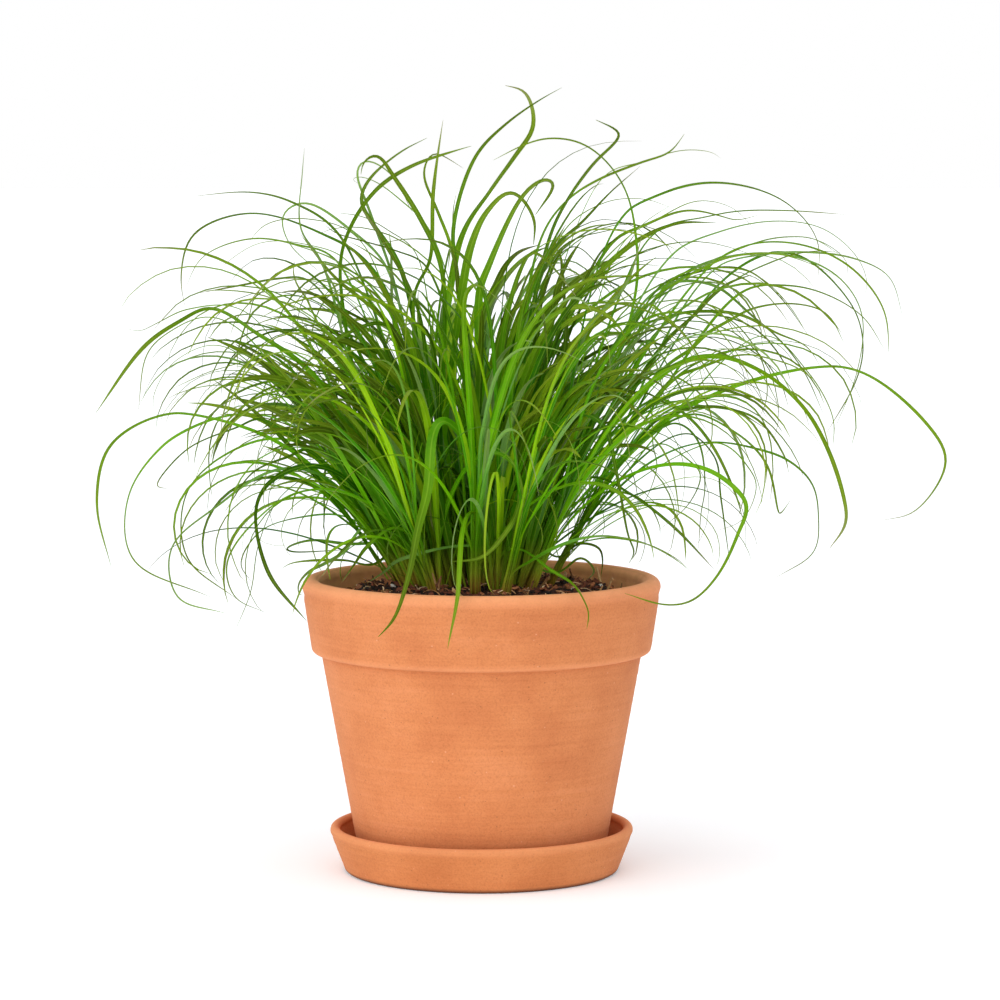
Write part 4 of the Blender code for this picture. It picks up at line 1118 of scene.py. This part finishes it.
def strewn_litter():
    """All the litter. Each kind has its name, sizes, seed, number of shapes, what makes one, and its look.

    Peat crumbs are near black with brown dust, and composted bark is red-brown with pale torn edges. Grit is
    smooth and grey. Dry rootlets go from brown to cream, and old stalks from a dark foot to a bleached top.
    """
    peat = ((0.1, "#080403"), (0.5, "#1b0e08"), (0.9, "#4a2816"))
    bark = ((0.1, "#110704"), (0.45, "#34160a"), (0.7, "#6c3418"), (0.92, "#b8784a"))
    stone = ((0.1, "#6d645e"), (0.5, "#a0968d"), (0.9, "#c9c1b8"))
    straw = ((0.2, "#5a2f1b"), (0.5, "#9a6238"), (0.66, "#c58b58"), (0.82, "#e9c79e"))
    stalk = ((0.15, "#3d2110"), (0.45, "#8a5a30"), (0.8, "#c9a26c"))
    crumb, pebble = partial(lump, **CRUMB_FORM), partial(lump, **GRIT_FORM)
    kinds = (
        ("soil_crumbs", CRUMBS, 3, 4, crumb, ("peat_crumb", peat, 0.95, 1.2)),
        ("bark_chips", BARK, 5, 6, chip, ("composted_bark", bark, 0.8, 0.9)),
        ("grit", GRIT, 11, 3, pebble, ("river_grit", stone, 0.6, 0.8)),
        ("dry_rootlets", ROOTLETS, 17, 6, rootlet, ("dry_rootlet", straw, 0.7, 1.5)),
        ("old_stubs", STUBS, 23, 5, stub, ("old_stalk", stalk, 0.75, 1.2)),
    )
    draw = np.random.default_rng(SEED)
    tree = litter_tree()
    strewn = []
    for name, sizes, seed, count, shape, look in kinds:
        shapes = shape_collection(f"{name}_shape", [shape(draw) for _ in range(count)])
        strewn.append(litter(name, tree, shapes, sizes, seed, loose_matter(*look)))
    return strewn


def unit(vector):
    """A vector, or each row of an array of them, at length 1."""
    return vector / np.linalg.norm(vector, axis=-1, keepdims=True)


def direction(azimuth, lean):
    """Unit vector that leans from the vertical towards an azimuth."""
    return np.array([math.sin(lean) * math.cos(azimuth), math.sin(lean) * math.sin(azimuth), math.cos(lean)])


def spiral_of_stems():
    """The stems: evenly spread over the crown, each a golden angle on from the last."""
    stems = []
    for number in range(SHOOTS):
        share = math.sqrt((number + 0.5) / SHOOTS)
        azimuth = FIRST_AZIMUTH + number * GOLDEN_ANGLE
        foot = np.array([CROWN_X, 0.0, SOIL_TOP]) + CROWN_RADIUS * share * direction(azimuth, math.pi / 2)
        lean = math.radians(CENTRE_LEAN + (EDGE_LEAN - CENTRE_LEAN) * share)
        along = direction(azimuth, lean)
        level = direction(azimuth + math.pi / 2, math.pi / 2)
        stems.append(Stem(foot, lean, along, level, np.cross(level, along)))
    return stems


def arching(start, heading, length, end_lean, droop, wander):
    """Centre line of a blade that tips over more and more steeply towards its end."""
    lean = math.acos(min(1.0, heading[2]))
    share = (np.arange(FINE_STEPS) + 0.5) / FINE_STEPS
    tilt = lean + (end_lean - lean) * share**droop
    azimuth = math.atan2(heading[1], heading[0]) + wander * share**2
    step = np.stack([np.sin(tilt) * np.cos(azimuth), np.sin(tilt) * np.sin(azimuth), np.cos(tilt)], axis=1)
    return np.vstack([start, start + np.cumsum(step * length / FINE_STEPS, axis=0)])


def evenly(line, steps):
    """A line split anew into steps of one length."""
    walked = np.concatenate([[0], np.cumsum(np.linalg.norm(np.diff(line, axis=0), axis=1))])
    even = np.linspace(0, walked[-1], steps + 1)
    return np.stack([np.interp(even, walked, line[:, i]) for i in range(3)], axis=1)


def through(points):
    """A smooth line through points (a Catmull-Rom spline), split evenly along its length."""
    points = np.asarray(points, float)
    padded = np.vstack([2 * points[0] - points[1], points, 2 * points[-1] - points[-2]])
    share = np.linspace(0, 1, FINE_STEPS, endpoint=False)[:, None]
    runs = []
    for a, b, c, d in zip(padded, padded[1:], padded[2:], padded[3:]):
        straight = b + share * (c - a) / 2
        square = share**2 * (2 * a - 5 * b + 4 * c - d) / 2
        cube = share**3 * (3 * b - a - 3 * c + d) / 2
        runs.append(straight + square + cube)
    return evenly(np.vstack(runs + [points[-1:]]), FINE_STEPS)


def seen_from_front(across, up, depth):
    """The point at a depth behind the axis that the eye sees at a place in the plane through the axis."""
    scale = 1 - depth / EYE[1]
    return (EYE[0] + (across - EYE[0]) * scale, depth, EYE[2] + (up - EYE[2]) * scale)


def nearest_stem(stems, depth, points):
    """Number of the stem whose blades most easily run on through the first two points of a placed one."""
    first, second = (np.array([x, depth / 4, z]) for x, z in points[:2])
    ahead = unit(second - first)
    turns = []
    for stem in stems:
        run = unit(first - stem.foot - stem.along * STEM_LENGTH / 2)
        turns.append(STEM_PULL * (1 - run @ stem.along) + 1 - run @ ahead)
    return int(np.argmin(turns))


def placed_knots(stem, depth, points, exit_share):
    """Points of a placed blade, from inside its stem to its tip, which lies depth behind the axis."""
    start = stem.foot + stem.along * STEM_LENGTH * exit_share
    first = np.array([points[0][0], depth / 4, points[0][1]])
    leaving = EXIT_ALONG_STEM * stem.along + (1 - EXIT_ALONG_STEM) * unit(first - start)
    shares = np.linspace(1 / 3, 1, len(points))
    seen = [seen_from_front(x, z, start[1] + (depth - start[1]) * s) for s, (x, z) in zip(shares, points)]
    return [start, start + EXIT_LENGTH * leaving] + seen


def away_from(draw, stem):
    """A unit vector straight out from a stem, drawn at random round it."""
    around = draw.uniform(0, math.tau)
    return math.cos(around) * stem.square + math.sin(around) * stem.level


def length_share(stem):
    """How long a stem's blades are for their kind: they are shorter towards the crown's edge."""
    return np.interp(stem.lean, (0, math.radians(EDGE_LEAN)), (LENGTH_AT_CENTRE, LENGTH_AT_EDGE))


def drawn_line(draw, stem, ranges=None):
    """Centre line of a blade drawn at random round its stem, of a drawn kind unless one is given."""
    if ranges is None:
        kind = draw.random()
        ranges = LOW_BLADE if kind < LOW_SHARE else TALL_BLADE if kind > 1 - TALL_SHARE else MIDDLE_BLADE
    height, spread, length, end_lean = draw.uniform(*ranges)
    out = away_from(draw, stem)
    spread = math.radians(spread)
    return arching(
        stem.foot + stem.along * height,
        math.cos(spread) * stem.along + math.sin(spread) * out,
        length * length_share(stem),
        math.radians(end_lean),
        draw.uniform(*DROOP),
        math.radians(draw.uniform(-WANDER, WANDER)),
    )


def closest(starts, ends, other_starts, other_ends):
    """Distance between each straight run of one set and each of another."""
    p, q = starts[:, None], ends[:, None]
    r, s = other_starts[None], other_ends[None]
    u, v, w = q - p, s - r, p - r
    a, b, e = (u * u).sum(-1), (u * v).sum(-1), (v * v).sum(-1)
    c, f = (u * w).sum(-1), (v * w).sum(-1)
    first = np.clip((b * f - c * e) / np.maximum(a * e - b * b, 1e-9), 0, 1)
    second = np.clip((b * first + f) / e, 0, 1)
    first = np.clip((b * second - c) / a, 0, 1)
    return np.linalg.norm(w + u * first[..., None] - v * second[..., None], axis=-1)


def clear_of_pot(line, lip_top=LIP_ROOM[2]):
    """Whether a blade stays off the pot's lip and the soil."""
    inner, outer, _ = LIP_ROOM
    radius = np.hypot(line[:, 0], line[:, 1])
    at_lip = (line[:, 2] < lip_top) & (radius > inner) & (radius < outer)
    in_soil = (line[:, 2] < SOIL_TOP + SOIL_ROOM) & (radius < outer)
    return not (at_lip.any() or in_soil.any())


def within_reach(line):
    """Whether a drawn blade keeps inside the reach that the placed ones set."""
    return (line >= REACH_LOW).all() and (line <= REACH_HIGH).all()


class Thicket:
    """The stems and blades so far, as straight runs, which tells whether one more blade has room."""

    def __init__(self, stems):
        self.starts = np.array([stem.foot - stem.along * STEM_DEPTH for stem in stems])
        self.ends = np.array([stem.foot + stem.along * STEM_LENGTH for stem in stems])
        self.radii = np.full(SHOOTS, STEM_RADIUS)
        self.owners = np.arange(SHOOTS)
        self.blades = []

    def has_room(self, blade):
        """A blade crosses nothing of another shoot, and past its lowest third no blade of its own."""
        gaps = closest(blade.points[:-1], blade.points[1:], self.starts, self.ends)
        gaps -= self.radii + blade.width / 2 + BLADE_GAP
        own = self.owners == blade.owner
        own_blades = own & (np.arange(len(own)) >= SHOOTS)
        return (gaps[:, ~own] > 0).all() and (gaps[len(gaps) // 3 :, own_blades] > 0).all()

    def add(self, blade):
        """Takes a blade in."""
        runs = len(blade.points) - 1
        self.starts = np.vstack([self.starts, blade.points[:-1]])
        self.ends = np.vstack([self.ends, blade.points[1:]])
        self.radii = np.append(self.radii, np.full(runs, blade.width / 2))
        self.owners = np.append(self.owners, np.full(runs, blade.owner))
        self.blades.append(blade)


def place_blades(thicket, stems):
    """Adds the placed blades, each at the first depth that leaves it room, and then in its finished form."""
    for order, (width, depth, points) in enumerate(PLACED_BLADES):
        owner = nearest_stem(stems, depth, points)
        exit_share = EXIT_SHARES[order % len(EXIT_SHARES)]
        for shift in DEPTH_SHIFTS:
            knots = placed_knots(stems[owner], depth + shift, points, exit_share)
            line = through(knots)
            blade = Blade(line[::PLACED_STRIDE], width, 0.0, owner, line, knots)
            if clear_of_pot(line) and thicket.has_room(blade):
                thicket.add(blade)
                if order in FINISHED_PATHS:
                    knots = placed_knots(stems[owner], depth + shift, FINISHED_PATHS[order], exit_share)
                thicket.blades[-1] = blade._replace(width=FINISHED_WIDTHS[order], knots=knots)
                break


def draw_blades(thicket, stems):
    """Adds the drawn blades, one for each stem in turn, each drawn again until it has room."""
    for turn in range(BLADES_PER_SHOOT):
        for owner, stem in enumerate(stems):
            draw = np.random.default_rng((SEED, turn, owner))
            for _ in range(TRIES):
                line = drawn_line(draw, stem)
                width = draw.choice(WIDTHS, p=WIDTH_SHARES)
                roll = math.radians(draw.uniform(-ROLL, ROLL))
                blade = Blade(line[::DRAWN_STRIDE], width, roll, owner, line, None)
                if within_reach(line) and clear_of_pot(line) and thicket.has_room(blade):
                    thicket.add(blade)
                    break


def fine_line(draw, stem, kind):
    """Centre line and width of a fine blade of a kind, from its own foot in the soil."""
    _, upright, least, most = kind
    axis = unit((1 - upright) * stem.along + upright * np.array([0.0, 0.0, 1.0]))
    offset, spread, length, end_lean, width = draw.uniform(least, most)
    out = away_from(draw, stem)
    spread = math.radians(spread)
    foot = stem.foot + offset * out - ROOT_DEPTH * stem.along
    foot[1] *= FRONT_PULL if foot[1] < 0 else 1.0
    line = arching(
        foot,
        unit(math.cos(spread) * axis + math.sin(spread) * out),
        length * length_share(stem),
        math.radians(end_lean),
        draw.uniform(*FINE_DROOP),
        math.radians(draw.uniform(-WANDER, WANDER)),
    )
    return line, width


def inside_crown(draw, line):
    """Whether a line keeps under the plant's dome, drawn anew each time, and off its sparse places."""
    middle, low, reach, height, power = CROWN_DOME
    out = np.hypot(line[:, 0] - middle, line[:, 1]) / reach
    up = np.maximum(line[:, 2] - low, 0) / height
    limit = draw.uniform(*CROWN_LIMITS)
    for lowest, highest, kept in SPARSE:
        passes = ((line > lowest) & (line < highest)).all(axis=1).any()
        if draw.random() > kept and passes:
            return False
    return (out**power + up**power <= limit).all()


def fine_blades(owner, stem):
    """The finer blades and hairs of one shoot, which may touch others as real ones do."""
    draw = np.random.default_rng((FINE_SEED, owner))
    shares = [kind[0] for kind in FINE_KINDS]
    clear = round(CLEAR_ROOT * FINE_STEPS)
    found = []
    for number in range(FINE_PER_SHOOT + HAIRS_PER_SHOOT):
        hair = number >= FINE_PER_SHOOT
        for _ in range(FINE_TRIES):
            if hair:
                line, width = drawn_line(draw, stem, HAIR), draw.uniform(*HAIR_WIDTHS)
            else:
                line, width = fine_line(draw, stem, FINE_KINDS[draw.choice(len(FINE_KINDS), p=shares)])
            roll = math.radians(draw.uniform(-FINE_ROLL, FINE_ROLL))
            free = line[clear:]
            if within_reach(free) and clear_of_pot(free, FINE_LIP_TOP) and inside_crown(draw, line):
                found.append(Blade(None, width, roll, owner, line, None))
                break
    return found


def fine_placed(stems):
    """The finer placed blades."""
    found = []
    for order, (width, depth, points) in enumerate(FINE_PLACED):
        owner = nearest_stem(stems, depth, points)
        knots = placed_knots(stems[owner], depth, points, EXIT_SHARES[order % len(EXIT_SHARES)])
        found.append(Blade(None, width, 0.0, owner, None, knots))
    return found


def weighed_down(line, angle, drift):
    """A line whose outer part hangs further and further down and drifts sideways, by angles at its tip."""
    steps = np.diff(line, axis=0)
    lengths = np.linalg.norm(steps, axis=1)
    start, power = HANG
    share = (np.arange(len(steps)) + 0.5) / len(steps)
    growing = np.clip((share - start) / (1 - start), 0, 1) ** power
    tilt = np.arccos(steps[:, 2] / lengths) + angle * growing
    azimuth = np.arctan2(steps[:, 1], steps[:, 0]) + drift * growing
    ahead = np.stack([np.sin(tilt) * np.cos(azimuth), np.sin(tilt) * np.sin(azimuth), np.cos(tilt)], axis=1)
    return np.vstack([line[:1], line[0] + np.cumsum(ahead * lengths[:, None], axis=0)])


def sheath_foot(stem, spread, out):
    """Where a blade starts inside its sheath, in the soil."""
    return stem.foot + spread * SPREAD_AT_FOOT * out - stem.along * ROOT_DEPTH


def rooted(draw, stem, line):
    """A blade's line taken down inside its sheath to the soil, beside the stem's middle."""
    off_stem = line - stem.foot
    off_stem = off_stem - np.outer(off_stem @ stem.along, stem.along)
    spread = draw.uniform(*SHEATH_SPREAD)
    leaving = int(np.argmax(np.linalg.norm(off_stem, axis=1) > spread)) or LEAVING_STEP
    out = unit(off_stem[leaving])
    height = (line[leaving] - stem.foot) @ stem.along
    halfway = stem.foot + spread * SPREAD_HALFWAY * out + stem.along * height / 2
    kept = list(line[leaving::ROOTED_STRIDE])
    if (len(line) - 1 - leaving) % ROOTED_STRIDE:
        kept.append(line[-1])
    return through([sheath_foot(stem, spread, out), halfway] + kept)


def blended(a, b, start, end, time):
    """From a to b, as time goes from start to end."""
    return (a * (end - time) + b * (time - start)) / (end - start)


def evenly_curved(knots):
    """A line through knots without loops (a centripetal Catmull-Rom spline), split evenly."""
    ahead, behind = 2 * knots[-1] - knots[-2], 2 * knots[0] - knots[1]
    padded = np.vstack([behind, knots, ahead])
    times = np.concatenate([[0], np.cumsum(np.linalg.norm(np.diff(padded, axis=0), axis=1) ** 0.5)])
    runs = []
    for i in range(len(knots) - 1):
        t0, t1, t2, t3 = times[i : i + 4]
        a, b, c, d = padded[i : i + 4]
        time = np.linspace(t1, t2, PLACED_STEPS, endpoint=False)[:, None]
        ab, bc, cd = blended(a, b, t0, t1, time), blended(b, c, t1, t2, time), blended(c, d, t2, t3, time)
        abc, bcd = blended(ab, bc, t0, t2, time), blended(bc, cd, t1, t3, time)
        runs.append(blended(abc, bcd, t1, t2, time))
    return evenly(np.vstack(runs + [knots[-1:]]), PLACED_STEPS)


def eased(draw, stem, knots):
    """A placed blade's line: from the soil up its stem, then through its points, with its kinks eased out."""
    out = unit(knots[2] - stem.foot - ((knots[2] - stem.foot) @ stem.along) * stem.along)
    spread = draw.uniform(*SHEATH_SPREAD)
    knots = np.array([sheath_foot(stem, spread, out), knots[0]] + knots[2:])
    knots[1] += spread * out
    line = evenly_curved(knots)
    share = np.linspace(0, 1, PLACED_STEPS + 1)[:, None]
    end, fade, least = EASED
    for _ in range(EASING):
        middle = line.copy()
        middle[1:-1] = (line[:-2] + line[2:]) / 2
        line = line + (middle - line) * np.clip((end - share) / fade, least, 1)
    return line


def strand_points(draw, stem, blade):
    """Points of a finished blade: eased through its knots, hung further and rooted, or as they were drawn."""
    if blade.knots is not None:
        return eased(draw, stem, blade.knots)
    line = blade.line
    if blade.points is not None:
        hang, drift = math.radians(draw.uniform(*HANG_ANGLES)), math.radians(draw.uniform(-DRIFT, DRIFT))
        across, depth, _ = line[-1]
        if depth < FRONT_TIP[0] and abs(across) < FRONT_TIP[1]:
            hang *= FRONT_HANG
        line = rooted(draw, stem, weighed_down(line, hang, drift))
    return line[::POINT_STRIDE]


def strand_frame(draw, blade, points, share):
    """Unit vectors across a finished blade and square to it. A placed one turns about facing the eye."""
    tangents = unit(np.gradient(points, axis=0))
    if blade.knots is not None:
        side = unit(np.cross(tangents, unit(points - np.array(EYE))))
        waves = math.tau * (draw.uniform(*TWISTS) * share + draw.random())
        roll = math.radians(PLACED_TWIST) * np.sin(waves)[:, None]
    else:
        run = points[-1] - points[0]
        level = unit(np.array([-run[1], run[0], 0.0]))
        side = unit(level - (tangents @ level)[:, None] * tangents)
        roll = (blade.roll + math.radians(draw.uniform(-TWIST, TWIST)) * share**2)[:, None]
    under = np.cross(side, tangents)
    return np.cos(roll) * side + np.sin(roll) * under, np.sin(roll) * side - np.cos(roll) * under


def strand(draw, stem, blade):
    """The finished form of a blade: its width, fold, twist and tones along its line."""
    placed, in_solids, hair = blade.knots is not None, blade.points is not None, blade.width < HAIR_WIDTHS[1]
    points = strand_points(draw, stem, blade)
    share = np.linspace(0, 1, len(points))
    side, up = strand_frame(draw, blade, points, share)

    taper = PLACED_TAPER if placed else BROAD_TAPER if blade.width > BROAD else TAPER
    half = blade.width / 2 * np.interp(share, *taper)
    sheathed = np.clip(1 - share / SHEATH_SHARE, 0, 1) * (not hair)
    if in_solids:
        half = half * (1.0 if placed else SLIMMER)
        half = half + (SHEATH_WIDTH / 2 - half) * sheathed
    fold = FOLD_AT_MIDDLE + (FOLD_AT_SHEATH - FOLD_AT_MIDDLE) * sheathed

    lift = np.linalg.norm(points - stem.foot, axis=1) / LIFT_HEIGHT
    tone = np.full(len(points), draw.uniform(*(PLACED_TONES if placed else (0.0, 1.0))))
    dries = draw.random() < DRY_SHARE and (placed or in_solids)
    dry = np.clip((share - DRY_FROM) / (1 - DRY_FROM), 0, 1) * dries * DRY_TIP + hair * DRY_HAIR * share
    return Strand(points, half, fold, side, up, share, lift, tone, dry)


def strand_mesh(name, strands):
    """Strands as loose chains of edges, with the values that the blade tree reads at each point."""
    mesh = bpy.data.meshes.new(name)
    edges = []
    start = 0
    for piece in strands:
        edges += [(start + i, start + i + 1) for i in range(len(piece.points) - 1)]
        start += len(piece.points)
    mesh.from_pydata(np.vstack([piece.points for piece in strands]) * MM, edges, [])
    for field in ("half", "fold", "along", "lift", "tone", "dry"):
        values = np.concatenate([getattr(piece, field) for piece in strands])
        values = values * MM if field == "half" else values
        mesh.attributes.new(field, "FLOAT", "POINT").data.foreach_set("value", values.astype(np.float32))
    for field in ("side", "up"):
        values = np.vstack([getattr(piece, field) for piece in strands])
        stored = mesh.attributes.new(field, "FLOAT_VECTOR", "POINT")
        stored.data.foreach_set("vector", values.astype(np.float32).ravel())
    return mesh


def leafy_shoots(finish):
    """Each shoot with all its blades, in place of its plain node."""
    stems = spiral_of_stems()
    thicket = Thicket(stems)
    place_blades(thicket, stems)
    draw_blades(thicket, stems)
    finer = fine_placed(stems)
    tree = blade_tree()
    shoots = []
    for owner, stem in enumerate(stems):
        draw = np.random.default_rng((FINE_SEED, SEED, owner))
        strands = []
        for order, blade in enumerate(thicket.blades):
            if blade.owner == owner and order not in LEFT_OUT:
                strands.append(strand(draw, stem, blade))
        strands += [strand(draw, stem, blade) for blade in finer if blade.owner == owner]
        strands += [strand(draw, stem, blade) for blade in fine_blades(owner, stem)]
        name = f"sedge_shoot_{owner + 1:02d}"
        values = {"Thickness": THICKNESS_SHARE, "Material": finish}
        shoot = grown(name, tree, strand_mesh(name, strands), values)
        smooth(shoot.data, BLADE_CREASE)
        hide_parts(f"shoot_{owner + 1:02d}")
        shoots.append(shoot)
    return shoots


def settle(pieces):
    """Pieces go with the object's one body."""
    for piece in pieces:
        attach(piece, "root")


def studio():
    """White floor and air, a broad soft light from the upper left, two weaker ones, and the camera."""
    scene = bpy.context.scene
    scene.view_settings.view_transform = "Standard"
    mesh = bpy.data.meshes.new("floor")
    corners = [(x * FLOOR_REACH, y * FLOOR_REACH, 0.0) for x, y in ((-1, -1), (1, -1), (1, 1), (-1, 1))]
    mesh.from_pydata(corners, [], [range(4)])
    new_piece("floor", mesh, light_table())

    scene.world = bpy.data.worlds.new("white_air")
    scene.world.use_nodes = True
    tree = scene.world.node_tree
    tree.nodes.clear()
    lit = node(tree, "ShaderNodeBackground", {"Color": linear("#f8faff"), "Strength": AIR_LIGHT})[0]
    shown = node(tree, "ShaderNodeBackground", {"Color": linear("#ffffff"), "Strength": 1.0})[0]
    direct = node(tree, "ShaderNodeLightPath")["Is Camera Ray"]
    air = node(tree, "ShaderNodeMixShader", {"Fac": direct, "Shader": lit, "Shader_001": shown})[0]
    node(tree, "ShaderNodeOutputWorld", {"Surface": air})

    for name, place, strength, softness in LAMPS:
        lamp = bpy.data.lights.new(name, "SUN")
        lamp.energy = strength
        lamp.angle = math.radians(softness)
        light = bpy.data.objects.new(name, lamp)
        light.rotation_euler = Vector(place).to_track_quat("Z", "Y").to_euler()
        scene.collection.objects.link(light)

    lens = bpy.data.cameras.new("camera")
    lens.lens = LENS
    lens.sensor_width = SENSOR
    camera = bpy.data.objects.new("camera", lens)
    camera.location = Vector(EYE) * MM
    camera.rotation_euler = (math.radians(90 - CAMERA_TILT), 0.0, 0.0)
    scene.collection.objects.link(camera)
    scene.camera = camera


def main():
    """Dresses the frame and lights it."""
    studio()
    pot = turned_pot(fired_clay("turned_terracotta", "#df8f5b", "#d6854f", "#cb7946"))
    dish = turned_saucer(fired_clay("turned_terracotta_saucer", "#da8c54", "#d08149", "#c4753f"))
    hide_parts("pot")
    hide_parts("saucer")
    settle([pot])
    settle([dish])

    soil = soil_body(potting_mix())
    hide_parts("soil")
    settle([soil] + strewn_litter())
    settle(leafy_shoots(sedge_blade()))


main()
